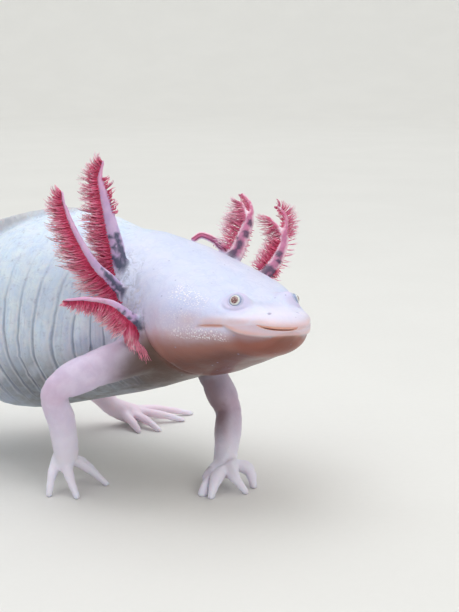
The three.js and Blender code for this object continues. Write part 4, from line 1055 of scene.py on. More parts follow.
# ------------------------------------------------------------------ gill filaments
# Beds of filaments. tube: 0 the stalk, 1 its second tip. over: how far round from the back edge, degrees, and rows.
# reach: length at the bed's start, middle and end. lean and curl: towards the tip, at once and by the end.
BACK = (-62, -50, -38, -26, -14, -3, 8, 20, 32, 44, 56)
BEDS = {
    "right_upper": [
        dict(tube=0, at=(0.03, 1.0), over=BACK, gap=0.40, reach=(5.0, 7.2, 5.0), lean=0.0, curl=0.34, near=0.955),
        dict(tube=0, at=(0.52, 0.86), over=(150, 170, 190, 208), gap=0.9, reach=(2.2, 3.6, 2.6), lean=0.5, curl=0.3, tone=0.3, loose=0.4)],
    "right_middle": [dict(tube=0, at=(0.03, 1.0), over=BACK, gap=0.40, reach=(8.6, 8.2, 5.2), lean=0.12, curl=0.44, near=0.955)],
    "right_lower": [
        dict(tube=0, at=(0.04, 0.36), over=BACK, gap=0.20, reach=(7.8, 9.0, 6.8), lean=-0.04, curl=0.0, curtain=True, near=0.97),
        dict(tube=0, at=(0.28, 1.0), over=BACK, gap=0.40, reach=(7.0, 6.2, 3.4), lean=0.06, curl=0.14, dark=0.16)],
    "left_upper": [dict(tube=0, at=(0.16, 0.46), over=(-24, 24), gap=1.3, reach=(1.6, 2.0, 1.0), lean=0.1, curl=0.3, tone=0.55, loose=0.3)],
    "left_middle": [
        dict(tube=0, at=(0.12, 0.46), over=(-44, -22, 0, 22, 40), gap=0.56, reach=(4.8, 6.8, 7.4), lean=0.10, curl=0.05, tone=0.6, loose=0.26),
        dict(tube=1, at=(0.05, 1.0), over=(-60, -40, -20, 0, 20, 40, 60), gap=0.5, reach=(7.6, 6.4, 4.2), lean=0.05, curl=0.08, tone=0.95, loose=0.22, open=1),
        dict(tube=0, at=(0.46, 1.0), over=(-40, -15, 15, 40), gap=0.5, reach=(2.0, 2.0, 2.0), lean=0.5, curl=0.1, tone=0.7),
        dict(tube=0, at=(0.12, 0.36), over=(150, 180, 210), gap=1.4, reach=(1.6, 1.2, 0.9), lean=0.2, curl=0.2, tone=0.8, loose=0.3)],
    "left_lower": [
        dict(tube=0, at=(0.10, 0.43), over=BACK[1:-1], gap=0.5, reach=(4.8, 5.8, 5.4), lean=0.12, curl=0.25, tone=0.15, loose=0.34),
        dict(tube=1, at=(0.10, 1.0), over=(-85, -60, -35, -12, 12, 35, 60, 85), gap=0.66, reach=(4.6, 5.6, 5.4), lean=0.25, curl=0.16, tone=0.6, loose=0.40, open=1),
        dict(tube=0, at=(0.50, 1.0), over=(135, 158, 180, 202, 225), gap=0.55, reach=(3.2, 4.0, 3.2), lean=0.35, curl=0.05, tone=0.8, loose=0.24, open=1),
        dict(tube=0, at=(0.14, 0.52), over=(165, 185), gap=1.5, reach=(2.6, 3.2, 3.2), lean=0.35, curl=0.1, tone=0.8, loose=0.22),
        dict(tube=0, at=(0.08, 0.16), over=(150, 175, 200), gap=0.5, reach=(2.4, 2.6, 2.4), lean=-0.2, curl=0.3, tone=0.1, loose=0.3),
        dict(tube=0, at=(0.62, 1.0), over=(-40, 0, 40), gap=0.7, reach=(1.6, 2.0, 2.4), lean=0.5, curl=0.1, tone=0.5)],
}
SEG, SD = 6, 5

def clear_of_flesh(Q, lift):
    """Lifts points out of the body and the upper arm next to the gills."""
    s, x, y = body_coords(Q)
    w, h, n = BODY_W(s), np.where(y > 0, BODY_T(s), BODY_B(s)), BODY_N(s)
    r = ((np.abs(x) / w) ** n + (np.abs(y) / h) ** n) ** (1 / n)
    p, f, l, u = spine(s)
    out = unit(l * (x / w**2)[:, None] + u * (y / h**2)[:, None])
    need = np.maximum(1.0 + lift / np.minimum(w, h) - r, 0) * np.minimum(w, h)
    Q = Q + out * np.minimum(need, 7.0)[:, None]
    path, radii = leg_path(LEGS["fore_right"])
    tt = np.linspace(0.05, 0.5, 60)
    q, rr = path(tt), np.maximum(*radii(tt))
    D = np.linalg.norm(Q[:, None] - q[None], axis=2)
    j = D.argmin(1)
    d = D[np.arange(len(Q)), j]
    need = np.maximum(rr[j] + lift - d, 0)
    return Q + unit(Q - q[j]) * need[:, None]

def make_filaments(key, seed):
    rng = np.random.default_rng(seed)
    tubes = stalk_tubes(key)
    line, uv, rad, tone, rnd, least = [], [], [], [], [], []
    us = np.linspace(0, 1, SEG + 1)
    for bed in BEDS[key]:
        path, size, back = tubes[bed["tube"]]
        tt = np.linspace(0, 1, 300)
        L = np.concatenate([[0], np.cumsum(np.linalg.norm(np.diff(path(tt), axis=0), axis=1))])
        a, b = np.interp(bed["at"], tt, L)
        loose = bed.get("loose", 0.16)
        for row, phi0 in enumerate(bed["over"]):
            m = max(2, int((b - a) / bed["gap"]))
            lt = a + (b - a) * (np.arange(m) + rng.uniform(0.08, 0.92, m)) / m
            at_tip = bed["at"][1] >= 1.0
            if at_tip:
                lt = np.concatenate([lt, np.full(3, L[-1]) - rng.uniform(0, 0.4, 3)])
                m += 3
            t = np.interp(lt, L, tt)
            phi = np.radians(phi0 + rng.normal(0, 4, m))
            d = unit(path(np.minimum(t + 4e-3, 1)) - path(np.maximum(t - 4e-3, 0)))
            bk = unit(back - d * (d @ back)[:, None])
            w = np.cross(d, bk)
            W, H = size(t)
            off = bk * (W * np.cos(phi))[:, None] + w * (H * np.sin(phi))[:, None]
            out = unit(bk * (np.cos(phi) / W)[:, None] + w * (np.sin(phi) / H)[:, None])
            root = path(t) + off * 0.9
            # filaments lean together in clumps about a millimetre apart
            lay = row // 4
            cl = np.floor(lt / 1.0 + 0.37 * lay).astype(int)
            cr = np.random.default_rng(seed * 31 + 7 * lay + bed["tube"])
            table = np.clip(cr.normal(size=(200, 4)), -1.8, 1.8)
            c = table[np.clip(cl, 0, 199)]
            long = np.interp(lt, [a, (a + b) / 2, b], bed["reach"]) * (1 + 0.09 * c[:, 0]) * rng.uniform(0.86, 1.08, m)
            # more than half are short and make the solid inner part; the rest reach the rim in strands
            inner = rng.random(m) < (0.0 if bed.get("tone", 0) > 0.5 or bed.get("curtain") else 0.60)
            long = np.where(inner, long * rng.uniform(0.42, 0.66, m), long)
            long = np.where(rng.random(m) < 0.05, long * 1.16, long)
            # rows nearer the face of the stalk grow shorter, so that the fringe thins to its rim
            side_way = abs(((phi0 + 180) % 360) - 180)
            main = bk if side_way < 100 else out
            if side_way < 100:
                long = long * (1 - 0.24 * (side_way / 62.0) ** 2)
            fan = ramp(lt, b - 4.0, b)[:, None] * (1.0 if at_tip else 0.0)
            aim = main + out * 0.34 + d * (bed["lean"] + loose * 0.6 * c[:, 1])[:, None] + w * (loose * 0.7 * c[:, 2])[:, None]
            aim = unit(aim * (1 - 0.5 * fan) + d * (0.8 * fan) + 0.32 * loose * rng.normal(size=(m, 3)))
            long = long * (1 - (0.2 if bed.get("open") else 0.5) * fan[:, 0])
            if bed.get("curtain"):
                aim = unit(aim * 0.22 + np.array([0.05, -0.08, -1.0]))
            mid = (cl + 0.5 - 0.37 * lay) * 1.0 - lt
            hold = np.where(inner, 0.3, 0.66) * (0.6 if bed.get("tone", 0) > 0.5 or bed.get("curtain") else 1.0)
            end_pull = d * (mid * hold)[:, None] - w * (H * np.sin(phi) * hold * 0.8)[:, None]
            curl = bed["curl"] * (1 + 0.35 * c[:, 3]) + 0.10 * rng.normal(size=m)
            wave = unit(np.cross(aim, rng.normal(size=(m, 3)))) * (long * rng.uniform(0.01, 0.05 + 0.25 * loose, m))[:, None]
            u = us[None, :, None]
            P = root[:, None] + aim[:, None] * (long[:, None, None] * u) + out[:, None] * (0.5 * np.sin(np.pi * u) * 0.9) + end_pull[:, None] * u**1.6
            P = P + d[:, None] * (curl * long * 0.6)[:, None, None] * u**2.6 - aim[:, None] * (np.abs(curl) * long * 0.12)[:, None, None] * u**2.6
            P = P + wave[:, None] * np.sin(np.pi * 1.15 * u) * u
            line.append(P)
            v = 0.31 + 0.29 * (((phi0 + 180) % 360) - 180) / 180.0 if bed["tube"] == 0 else 0.82 + 0.15 * (((phi0 + 180) % 360) - 180) / 180.0
            uv.append(np.stack([0.03 + 0.94 * t, np.full(m, v)], 1))
            rad.append((0.185 if key.startswith("right") else 0.155) * rng.uniform(0.85, 1.15, m) * (1.0 if bed.get("tone", 0) < 0.6 else 0.8))
            tone.append(np.full(m, bed.get("tone", 0.0)))
            least.append(np.full(m, bed.get("near", 0.985)))
            rnd.append(np.clip(np.where(inner, 0.25, 0.2 if bed.get("curtain") else 0.62 - bed.get("dark", 0.0)) + 0.14 * c[:, 0] + 0.12 * rng.normal(size=m), 0, 1))
    line, uv, rad, tone, rnd, least = (np.concatenate(v) for v in (line, uv, rad, tone, rnd, least))
    # only filaments whose root stands clear of the body
    s, x, y = body_coords(line[:, 0])
    w, h, n = BODY_W(s), np.where(y > 0, BODY_T(s), BODY_B(s)), BODY_N(s)
    r = ((np.abs(x) / w) ** n + (np.abs(y) / h) ** n) ** (1 / n)
    ok = r > least
    line, uv, rad, tone, rnd = line[ok], uv[ok], rad[ok], tone[ok], rnd[ok]
    m = len(line)
    free = clear_of_flesh(line[:, 1:].reshape(-1, 3), 0.45).reshape(m, SEG, 3)
    line = np.concatenate([line[:, :1], free], 1)
    tang = unit(np.gradient(line, axis=1))
    ref = unit(np.cross(tang, np.array([0.31, -0.52, 0.79])))
    oth = np.cross(tang, ref)
    ang = 2 * np.pi * np.arange(SD) / SD
    rr = rad[:, None] * (1.05 - 0.5 * us[None] ** 1.4)
    rr[:, -1] *= 0.55
    ring = line[:, :, None] + ref[:, :, None] * (rr[..., None] * np.cos(ang))[..., None] + oth[:, :, None] * (rr[..., None] * np.sin(ang))[..., None]
    tip = line[:, -1] + tang[:, -1] * rr[:, -1:] * 1.5
    V = np.concatenate([ring.reshape(m, -1, 3), tip[:, None]], 1)
    per = V.shape[1]
    i, j = np.meshgrid(np.arange(SEG), np.arange(SD), indexing="ij")
    p0, p1 = i * SD + j, i * SD + (j + 1) % SD
    jj = np.arange(SD)
    one = np.concatenate([np.stack([p0, p1, p0 + SD], -1).reshape(-1, 3), np.stack([p1, p1 + SD, p0 + SD], -1).reshape(-1, 3),
                          np.stack([np.full(SD, per - 1), SEG * SD + jj, SEG * SD + (jj + 1) % SD], 1)])
    F = (one[None] + (np.arange(m) * per)[:, None, None]).reshape(-1, 3)
    # turned to face out: the first filament's winding tells
    N = normals(V[0], one)
    if ((V[0, : per - 1] - np.repeat(V[0, : per - 1].reshape(SEG + 1, SD, 3).mean(1), SD, 0)) * N[: per - 1]).sum() < 0:
        F = F[:, ::-1]
    o = mesh_object("gill_filaments_" + key, V.reshape(-1, 3), F)
    fu = np.concatenate([np.repeat(us, SD), [1.0]])
    fa = np.concatenate([np.tile(np.arange(SD) / SD, SEG + 1), [0.5]])
    attribute(o, "fu", np.tile(fu, m))
    attribute(o, "fr", np.repeat(rnd, per))
    attribute(o, "ft", np.repeat(tone, per))
    U = (uv[:, None] + 0.003 * np.stack([fu - 0.5, fa - 0.5], 1)[None]).reshape(-1, 2)
    layer = o.data.uv_layers.new(name="OFBake")
    lv = np.zeros(len(o.data.loops), np.int32)
    o.data.loops.foreach_get("vertex_index", lv)
    layer.data.foreach_set("uv", U[lv].astype(np.float32).ravel())
    print(o.name, m, "filaments", len(F), "triangles")
    return o

# ------------------------------------------------------------------ materials
class Nodes:
    def __init__(self, name):
        self.m = bpy.data.materials.new(name)
        self.m.use_nodes = True
        self.t = self.m.node_tree
        self.t.nodes.clear()
        self.out = self.t.nodes.new("ShaderNodeOutputMaterial")
        self.b = self.t.nodes.new("ShaderNodeBsdfPrincipled")
        self.link(self.b.outputs[0], self.out.inputs[0])

    def link(self, a, b):
        self.t.links.new(a, b)

    def put(self, socket, v):
        if isinstance(v, bpy.types.NodeSocket):
            self.link(v, socket)
        elif isinstance(v, (tuple, list)) and len(v) == 3 and socket.type == "RGBA":
            socket.default_value = (*v, 1)
        else:
            socket.default_value = v

    def set(self, **kw):
        for k, v in kw.items():
            self.put(self.b.inputs[k.replace("_", " ")], v)

    def attr(self, name):
        n = self.t.nodes.new("ShaderNodeAttribute")
        n.attribute_name = name
        return n.outputs["Fac"]

    def coords(self):
        n = self.t.nodes.new("ShaderNodeTexCoord")
        return n.outputs["Object"]

    def scaled(self, vec, scale):
        n = self.t.nodes.new("ShaderNodeMapping")
        self.link(vec, n.inputs[0])
        n.inputs["Scale"].default_value = scale if isinstance(scale, (tuple, list)) else (scale,) * 3
        return n.outputs[0]

    def noise(self, vec, scale, detail=3.0, rough=0.55, distortion=0.0):
        n = self.t.nodes.new("ShaderNodeTexNoise")
        self.link(vec, n.inputs["Vector"])
        n.inputs["Scale"].default_value = scale
        n.inputs["Detail"].default_value = detail
        n.inputs["Roughness"].default_value = rough
        n.inputs["Distortion"].default_value = distortion
        return n.outputs["Fac"]

    def voronoi(self, vec, scale, feature="F1", output="Distance", randomness=1.0):
        n = self.t.nodes.new("ShaderNodeTexVoronoi")
        n.feature = feature
        self.link(vec, n.inputs["Vector"])
        n.inputs["Scale"].default_value = scale
        n.inputs["Randomness"].default_value = randomness
        return n.outputs[output]

    def math(self, op, a, b=0.0, clamp=False):
        n = self.t.nodes.new("ShaderNodeMath")
        n.operation = op
        n.use_clamp = clamp
        self.put(n.inputs[0], a)
        self.put(n.inputs[1], b)
        return n.outputs[0]

    def join(self, x, y, z):
        n = self.t.nodes.new("ShaderNodeCombineXYZ")
        for k, v in enumerate((x, y, z)):
            self.put(n.inputs[k], v)
        return n.outputs[0]

    def span(self, v, a, b, lo=0.0, hi=1.0):
        n = self.t.nodes.new("ShaderNodeMapRange")
        n.interpolation_type = "SMOOTHSTEP"
        self.put(n.inputs["Value"], v)
        n.inputs["From Min"].default_value = a
        n.inputs["From Max"].default_value = b
        n.inputs["To Min"].default_value = lo
        n.inputs["To Max"].default_value = hi
        return n.outputs[0]

    def mix(self, fac, a, b, mode="MIX"):
        n = self.t.nodes.new("ShaderNodeMix")
        n.data_type = "RGBA"
        n.blend_type = mode
        self.put(n.inputs[0], fac)
        self.put(n.inputs[6], a)
        self.put(n.inputs[7], b)
        return n.outputs[2]

    def bump(self, height, strength, distance, normal=None):
        n = self.t.nodes.new("ShaderNodeBump")
        n.inputs["Strength"].default_value = strength
        n.inputs["Distance"].default_value = distance
        self.link(height, n.inputs["Height"])
        if normal is not None:
            self.link(normal, n.inputs["Normal"])
        return n.outputs[0]

def rgb(r, g, b):
    """sRGB 0-255 to linear."""
    return tuple(((c / 255) / 12.92 if c / 255 <= 0.04045 else ((c / 255 + 0.055) / 1.055) ** 2.4) for c in (r, g, b))

def skin_material():
    n = Nodes("axolotl_skin")
    co = n.coords()
    A = n.attr
    M = lambda a, b: n.math("MULTIPLY", a, b)
    big = n.noise(co, 55, 3, 0.6)
    mid = n.noise(co, 230, 4, 0.6)
    fine = n.noise(co, 900, 4, 0.65)
    mottle = n.noise(n.scaled(co, (1, 1, 1)), 420, 5, 0.7, 0.4)
    # ground: cool pale lavender on top of the head, greyer on the trunk
    col = n.mix(n.span(big, 0.35, 0.68), rgb(207, 215, 241), rgb(217, 221, 243))
    trunk = n.mix(n.span(mid, 0.3, 0.7), rgb(212, 231, 255), rgb(230, 243, 255))
    col = n.mix(M(A("trunk"), 0.92), col, trunk)
    # small freckled mottling of the flank
    fre = M(n.span(mottle, 0.54, 0.70), n.math("ADD", M(A("trunk"), 0.40), 0.10))
    col = n.mix(fre, col, rgb(166, 174, 196))
    vein = M(n.span(n.math("ABSOLUTE", n.math("SUBTRACT", n.noise(co, 150, 3, 0.6, 0.6), 0.5)), 0.05, 0.0), 0.16)
    col = n.mix(vein, col, rgb(176, 184, 222))
    pale = M(n.span(mottle, 0.46, 0.30), 0.25)
    col = n.mix(pale, col, rgb(238, 236, 244))
    # flush of the cheeks and shoulders, warmer down the jaw
    fl = M(A("flush"), n.span(mid, 0.2, 0.8, 0.55, 1.0))
    col = n.mix(M(fl, 0.46), col, rgb(224, 188, 212))
    col = n.mix(M(A("cheek"), 0.6), col, rgb(190, 200, 238))
    # painted light on the top of the snout
    col = n.mix(M(A("snout"), 0.62), col, rgb(236, 232, 252))
    col = n.mix(M(A("eyezone"), 0.46), col, rgb(220, 198, 236))
    col = n.mix(M(A("jaw"), n.span(mid, 0.2, 0.8, 0.58, 0.80)), col, rgb(214, 164, 168))
    # underside: painted shade
    under_shade = M(A("under"), n.span(mid, 0.2, 0.8, 0.6, 1.0))
    col = n.mix(M(under_shade, 0.90), col, rgb(94, 88, 78))

    # throat: its own reddish brown darkened as painted shade, and a deeper painted shade below it
    col = n.mix(M(A("throat"), 0.86), col, n.mix(n.span(mid, 0.3, 0.7), rgb(156, 93, 80), rgb(168, 107, 94)))
    col = n.mix(M(A("throat_deep_shade"), 0.9), col, n.mix(n.span(mid, 0.3, 0.7), rgb(92, 46, 36), rgb(106, 56, 44)))
    # painted shade under the chin
    col = n.mix(M(A("chin_shade"), 0.6), col, rgb(144, 70, 50))
    # limbs: lilac pink, rosier at joints and along the digits
    limb = n.mix(n.span(mid, 0.32, 0.7), rgb(214, 196, 224), rgb(228, 214, 238))
    limb = n.mix(M(A("joint"), 0.4), limb, rgb(214, 172, 200))
    limb = n.mix(n.span(A("toe"), 0.15, 0.9, 0.0, 0.4), limb, rgb(236, 226, 246))
    limb = n.mix(M(A("hand"), 0.9), limb, rgb(244, 240, 255))
    # painted shade on the far foreleg
    limb = n.mix(M(A("farlimb_shade"), 0.80), limb, rgb(128, 84, 82))
    limb = n.mix(M(A("hindlimb"), 0.6), limb, rgb(248, 216, 228))
    col = n.mix(M(A("limb"), 0.9), col, limb)
    # painted shade under the neck
    col = n.mix(M(A("neck_shade"), 0.9), col, rgb(82, 58, 46))
    # painted shade in the costal grooves, the fine lines between them and the closed line of the mouth
    col = n.mix(M(A("crease"), 0.30), col, rgb(134, 136, 158))
    # painted highlight on the raised skin behind each groove
    col = n.mix(M(A("ridge"), 0.35), col, rgb(240, 242, 250))
    # crisp lines of the costal grooves, the finer folds between them and wrinkles across the body: painted shade in the
    # grooves and folds, and a painted highlight on the skin either side of each groove
    wv = n.join(M(A("costal"), 3.0), A("round"), 0.0)
    wrinkle = n.noise(wv, 2.6, 5, 0.66, 0.5)
    count = n.math("ADD", A("costal"), M(n.math("SUBTRACT", n.noise(n.join(0.0, A("round"), M(A("costal"), 0.5)), 1.3, 2, 0.5), 0.5), 0.22))
    off = n.math("PINGPONG", count, 0.5)
    groove = M(M(n.span(off, 0.10, 0.0), A("costal_m")), n.span(wrinkle, 0.3, 0.65, 0.5, 1.0))
    groove_edge_highlight = M(M(n.span(off, 0.07, 0.13), n.span(off, 0.24, 0.13)), A("costal_m"))
    half = n.math("PINGPONG", n.math("ADD", M(count, 2.0), M(n.math("SUBTRACT", wrinkle, 0.5), 0.9)), 0.5)
    crinkle = M(M(n.span(half, 0.10, 0.0), A("costal_m")), n.span(wrinkle, 0.35, 0.6))
    col = n.mix(M(groove, 0.42), col, rgb(122, 130, 156))
    col = n.mix(M(crinkle, 0.20), col, rgb(140, 148, 174))
    col = n.mix(M(groove_edge_highlight, 0.36), col, rgb(246, 248, 254))
    # fins
    fin = n.mix(n.span(n.noise(n.scaled(co, (1, 1, 1)), 300, 4, 0.6), 0.3, 0.7), rgb(208, 210, 214), rgb(192, 195, 200))
    col = n.mix(M(A("fin"), 0.8), col, fin)
    # gill stalks: pale lilac on the right, rosier on the left; maroon where the filaments spring
    near = n.mix(n.span(mid, 0.35, 0.7), rgb(202, 176, 220), rgb(222, 200, 234))
    near = n.mix(n.span(A("stalk_t"), 0.40, 1.0, 0.0, 0.75), near, rgb(234, 160, 198))
    far = n.mix(n.span(mid, 0.35, 0.7), rgb(182, 98, 140), rgb(200, 120, 160))
    far = n.mix(n.span(A("stalk_t"), 0.4, 0.9, 0.0, 0.6), far, rgb(234, 122, 158))
    # painted rim highlight along the far stalks' edges
    far = n.mix(M(A("stalk_rim_highlight"), 0.9), far, rgb(255, 228, 240))
    st = n.mix(A("stalk_far"), near, far)
    st = n.mix(M(M(A("stalk_back"), n.math("SUBTRACT", 1.0, A("stalk_far"))), 0.62), st, rgb(176, 56, 98))
    st = n.mix(M(A("stripe"), 0.85), st, rgb(118, 30, 62))
    col = n.mix(A("stalk"), col, st)
    # the smoky, mottled roots of the gills, and their dark blotches
    sm = M(A("root"), n.span(n.noise(co, 330, 5, 0.7, 0.8), 0.46, 0.62))
    col = n.mix(M(sm, 0.55), col, rgb(120, 122, 138))
    mo = M(A("mottle"), n.span(n.noise(co, 520, 5, 0.75, 0.6), 0.42, 0.62))
    col = n.mix(M(mo, 0.38), col, n.mix(n.span(fine, 0.4, 0.6), rgb(124, 126, 140), rgb(206, 184, 150)))
    sp = M(A("spots"), n.span(n.noise(co, 900, 4, 0.7), 0.22, 0.5, 0.74, 1.0))
    col = n.mix(M(sp, 0.92), col, n.mix(A("stalk_far"), rgb(66, 76, 104), rgb(72, 46, 84)))
    # shining dots of the cheek
    dust = M(n.span(n.voronoi(co, 2300), 0.42, 0.24), A("spark"))
    col = n.mix(M(dust, 0.42), col, rgb(246, 244, 255))
    dots = n.span(n.voronoi(co, 1380), 0.44, 0.27)
    pick = n.span(n.noise(co, 700, 2, 0.5), 0.28, 0.40)
    dots = M(M(dots, pick), A("spark"))
    col = n.mix(M(dots, 0.85), col, rgb(250, 248, 255))
    # sparse tiny grey freckles on the head
    few = M(n.span(n.voronoi(co, 260), 0.11, 0.05), M(A("head"), 0.6))
    col = n.mix(few, col, rgb(150, 152, 188))
    # lips, mouth, nostrils, rim of the eyes
    col = n.mix(M(A("muzzle"), 0.62), col, rgb(237, 221, 234))
    col = n.mix(M(A("lowerlip"), 0.5), col, rgb(228, 194, 204))
    lipc = n.mix(n.span(mid, 0.3, 0.7), rgb(238, 178, 150), rgb(228, 160, 134))
    col = n.mix(M(A("lip"), 0.84), col, lipc)
    # painted shade deep in the parted lips
    col = n.mix(n.span(A("gape"), 0.52, 0.68, 0.0, 0.85), col, rgb(92, 42, 42))
    col = n.mix(M(A("nostril"), 0.62), col, rgb(136, 128, 164))
    col = n.mix(M(A("eyerim"), 0.55), col, rgb(168, 178, 206))
    n.set(Base_Color=col)
    # surface
    rough = n.span(mid, 0.2, 0.8, 0.38, 0.52)
    rough = n.math("SUBTRACT", rough, M(n.math("MAXIMUM", A("lip"), dots), 0.14))
    n.set(Roughness=rough)
    n.b.inputs["Subsurface Weight"].default_value = 0.30
    n.b.inputs["Subsurface Radius"].default_value = (1.0, 0.42, 0.32)
    n.b.inputs["Subsurface Scale"].default_value = 0.0026
    n.b.inputs["Coat Weight"].default_value = 0.26
    n.b.inputs["Coat Roughness"].default_value = 0.20
    n.b.inputs["Specular IOR Level"].default_value = 0.45
    # grain: pebbled skin, fine wrinkles, the raised shining dots
    peb = n.voronoi(co, 1500, "SMOOTH_F1")
    h = n.math("ADD", M(peb, 0.5), M(fine, 0.6))
    nb = n.bump(h, 0.22, 0.00022)
    nb = n.bump(mid, 0.30, 0.00050, nb)
    nb = n.bump(dots, 0.5, 0.00015, nb)
    deep = n.math("SUBTRACT", M(wrinkle, M(A("trunk"), 0.9)), n.math("ADD", M(groove, 0.8), M(crinkle, 0.4)))
    nb = n.bump(deep, 0.5, 0.0006, nb)
    n.link(nb, n.b.inputs["Normal"])
    n.link(nb, n.b.inputs["Coat Normal"])
    return n.m

def filament_material():
    n = Nodes("gill_filament")
    fu, fr, ft = n.attr("fu"), n.attr("fr"), n.attr("ft")
    co = n.coords()
    base = n.mix(n.span(fr, 0.1, 0.8), rgb(194, 32, 82), rgb(224, 74, 120))
    mid = n.mix(n.span(fr, 0.2, 0.8), rgb(230, 90, 134), rgb(248, 148, 180))
    tip = n.mix(n.span(fr, 0.25, 0.7), rgb(240, 134, 162), rgb(255, 224, 234))
    pink = n.mix(n.span(fr, 0.2, 0.8), rgb(220, 96, 140), rgb(238, 136, 174))
    base = n.mix(ft, base, pink)
    mid = n.mix(ft, mid, n.mix(n.span(fr, 0.2, 0.8), rgb(226, 122, 162), rgb(240, 164, 192)))
    col = n.mix(n.span(fu, 0.20, 0.50), base, mid)
    col = n.mix(n.span(fu, 0.50, 0.82), col, tip)
    col = n.mix(M3(n, n.span(fr, 0.86, 0.96), 0.55), col, rgb(96, 20, 48))
    col = n.mix(M3(n, n.span(n.noise(co, 500, 3), 0.45, 0.7), 0.22), col, rgb(136, 10, 42))
    n.set(Base_Color=col)
    n.set(Roughness=n.span(n.noise(co, 1500, 2), 0.3, 0.7, 0.28, 0.44))
    n.b.inputs["Subsurface Weight"].default_value = 0.15
    n.b.inputs["Subsurface Radius"].default_value = (1.0, 0.3, 0.25)
    n.b.inputs["Subsurface Scale"].default_value = 0.0008
    n.b.inputs["Coat Weight"].default_value = 0.35
    n.b.inputs["Coat Roughness"].default_value = 0.14
    n.link(n.bump(n.noise(co, 3000, 2), 0.15, 0.0001), n.b.inputs["Normal"])
    return n.m

def M3(n, a, b):
    return n.math("MULTIPLY", a, b)

def eye_material():
    n = Nodes("eye")
    er, ea = n.attr("er"), n.attr("ea")
    co = n.coords()
    speck = n.noise(co, 2600, 3, 0.6)
    pupil = n.mix(n.span(speck, 0.44, 0.60), rgb(112, 70, 72), rgb(186, 150, 148))
    pupil = n.mix(n.span(er, 0.95, 1.2), pupil, rgb(134, 100, 104))
    iris = n.mix(n.span(n.noise(co, 2200, 4, 0.7), 0.35, 0.65), rgb(214, 216, 210), rgb(241, 242, 237))
    iris = n.mix(n.span(er, 1.50, 1.64), iris, rgb(196, 202, 214))
    col = n.mix(n.span(er, 1.11, 1.21), pupil, iris)
    col = n.mix(n.span(er, 1.60, 1.72), col, rgb(156, 168, 202))
    n.set(Base_Color=col)
    n.set(Roughness=n.span(speck, 0.3, 0.7, 0.2, 0.32))
    n.b.inputs["Metallic"].default_value = 0.0
    n.b.inputs["Coat Weight"].default_value = 0.7
    n.b.inputs["Coat Roughness"].default_value = 0.06
    n.link(n.bump(n.noise(co, 3400, 3), 0.2, 0.00008), n.b.inputs["Normal"])
    return n.m

def floor_material():
    n = Nodes("floor")
    co = n.coords()
    v = n.noise(co, 9, 4, 0.6)
    f = n.noise(co, 420, 3, 0.6)
    col = n.mix(n.span(v, 0.35, 0.7), rgb(225, 224, 220), rgb(227, 226, 222))
    n.set(Base_Color=col)
    n.set(Roughness=n.span(f, 0.3, 0.7, 0.55, 0.7))
    n.link(n.bump(f, 0.08, 0.0003), n.b.inputs["Normal"])
    return n.m

# ------------------------------------------------------------------ stage, light, camera
def make_stage():
    """A wide round floor that curves up far out, so that no edge or horizon shows."""
    prof = [(0.0, 0.0), (0.5, 0.0), (1.5, 0.0), (2.6, 0.0)]
    for k in range(1, 17):
        a = k / 16 * math.pi / 2
        prof.append((2.6 + 1.4 * math.sin(a), 1.4 * (1 - math.cos(a))))
    prof += [(4.0, 2.6), (4.0, 4.2)]
    m = 96
    V, F = [], []
    for r, z in prof[1:]:
        for k in range(m):
            a = 2 * math.pi * k / m
            V.append((r * math.cos(a), r * math.sin(a), z))
    c = len(V)
    V.append((0, 0, 0))
    for k in range(m):
        F.append((c, k, (k + 1) % m))
    for i in range(len(prof) - 2):
        for k in range(m):
            F.append((i * m + k, (i + 1) * m + k, (i + 1) * m + (k + 1) % m, i * m + (k + 1) % m))
    me = bpy.data.meshes.new("floor")
    me.from_pydata(V, [], F)
    me.polygons.foreach_set("use_smooth", [True] * len(me.polygons))
    me.update()
    o = bpy.data.objects.new("floor", me)
    bpy.context.scene.collection.objects.link(o)
    o.data.materials.append(floor_material())
    o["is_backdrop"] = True

def area(name, at, to, size, power, color=(1, 1, 1)):
    li = bpy.data.lights.new(name, "AREA")
    li.shape = "RECTANGLE"
    li.size, li.size_y = size
    li.energy = power
    li.color = color
    o = bpy.data.objects.new(name, li)
    bpy.context.scene.collection.objects.link(o)
    o.location = at
    o.rotation_mode = "QUATERNION"
    o.rotation_quaternion = (Vector(to) - Vector(at)).to_track_quat("-Z", "Y")
    return o

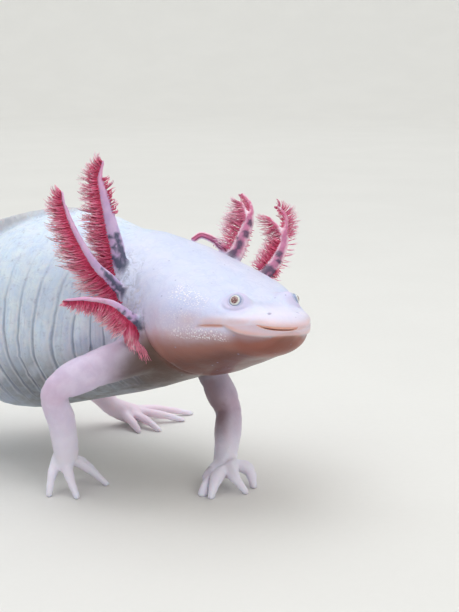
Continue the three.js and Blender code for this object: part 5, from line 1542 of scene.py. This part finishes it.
def make_light_and_camera():
    area("sky", (0.4, 0.3, 3.2), (0.3, 0.2, 0), (6.5, 6.5), 118.0, (0.97, 0.985, 1.0))
    area("top", (-0.10, 0.05, 1.0), (0, 0, 0.06), (0.7, 0.7), 3.0, (0.96, 0.98, 1.0))
    area("key", (-0.32, -0.95, 0.72), (0, -0.05, 0.06), (0.6, 0.6), 1.9, (1.0, 0.98, 0.97))
    area("back", (1.3, 0.8, 2.5), (3.3, 2.1, 0.5), (2.0, 2.0), 16.0, (0.98, 0.99, 1.0))
    w = bpy.data.worlds.new("studio")
    bpy.context.scene.world = w
    w.use_nodes = True
    bg = w.node_tree.nodes["Background"]
    bg.inputs[0].default_value = (0.88, 0.90, 0.93, 1)
    bg.inputs[1].default_value = 0.22
    cam = bpy.data.cameras.new("camera")
    cam.sensor_width = 36
    cam.lens = 36 * 1250 / 612
    cam.clip_start, cam.clip_end = 0.01, 50
    o = bpy.data.objects.new("camera", cam)
    bpy.context.scene.collection.objects.link(o)
    o.location = (-0.32732, -0.29938, 0.140)
    a, p = math.radians(-57.0), math.radians(11.0)
    look = Vector((-math.sin(a) * math.cos(p), math.cos(a) * math.cos(p), -math.sin(p)))
    o.rotation_mode = "QUATERNION"
    o.rotation_quaternion = look.to_track_quat("-Z", "Y")
    bpy.context.scene.camera = o
    bpy.context.scene.view_settings.view_transform = "Standard"

# ------------------------------------------------------------------ all together
make_light_and_camera()
make_stage()
skin = make_skin()
skin.data.materials.append(skin_material())
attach(skin, "root")
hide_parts(*[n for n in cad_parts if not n.startswith(("eye_", "gill_fringe_"))])
eye_mat = eye_material()
for name, side in (("right", -1), ("left", 1)):
    e = make_eye("eyeball_" + name, side)
    e.data.materials.append(eye_mat)
    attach(e, "root")
    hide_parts("eye_" + name)
fil = filament_material()
for k, key in enumerate(GILLS):
    g = make_filaments(key, 100 + k)
    g.data.materials.append(fil)
    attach(g, "root")
    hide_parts(*[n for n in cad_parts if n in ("gill_fringe_" + key, "gill_fringe_" + key + "_front")])
print("tris", sum(len(o.data.polygons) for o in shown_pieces() if o.type == "MESH"), round(time.perf_counter() - T0, 1))
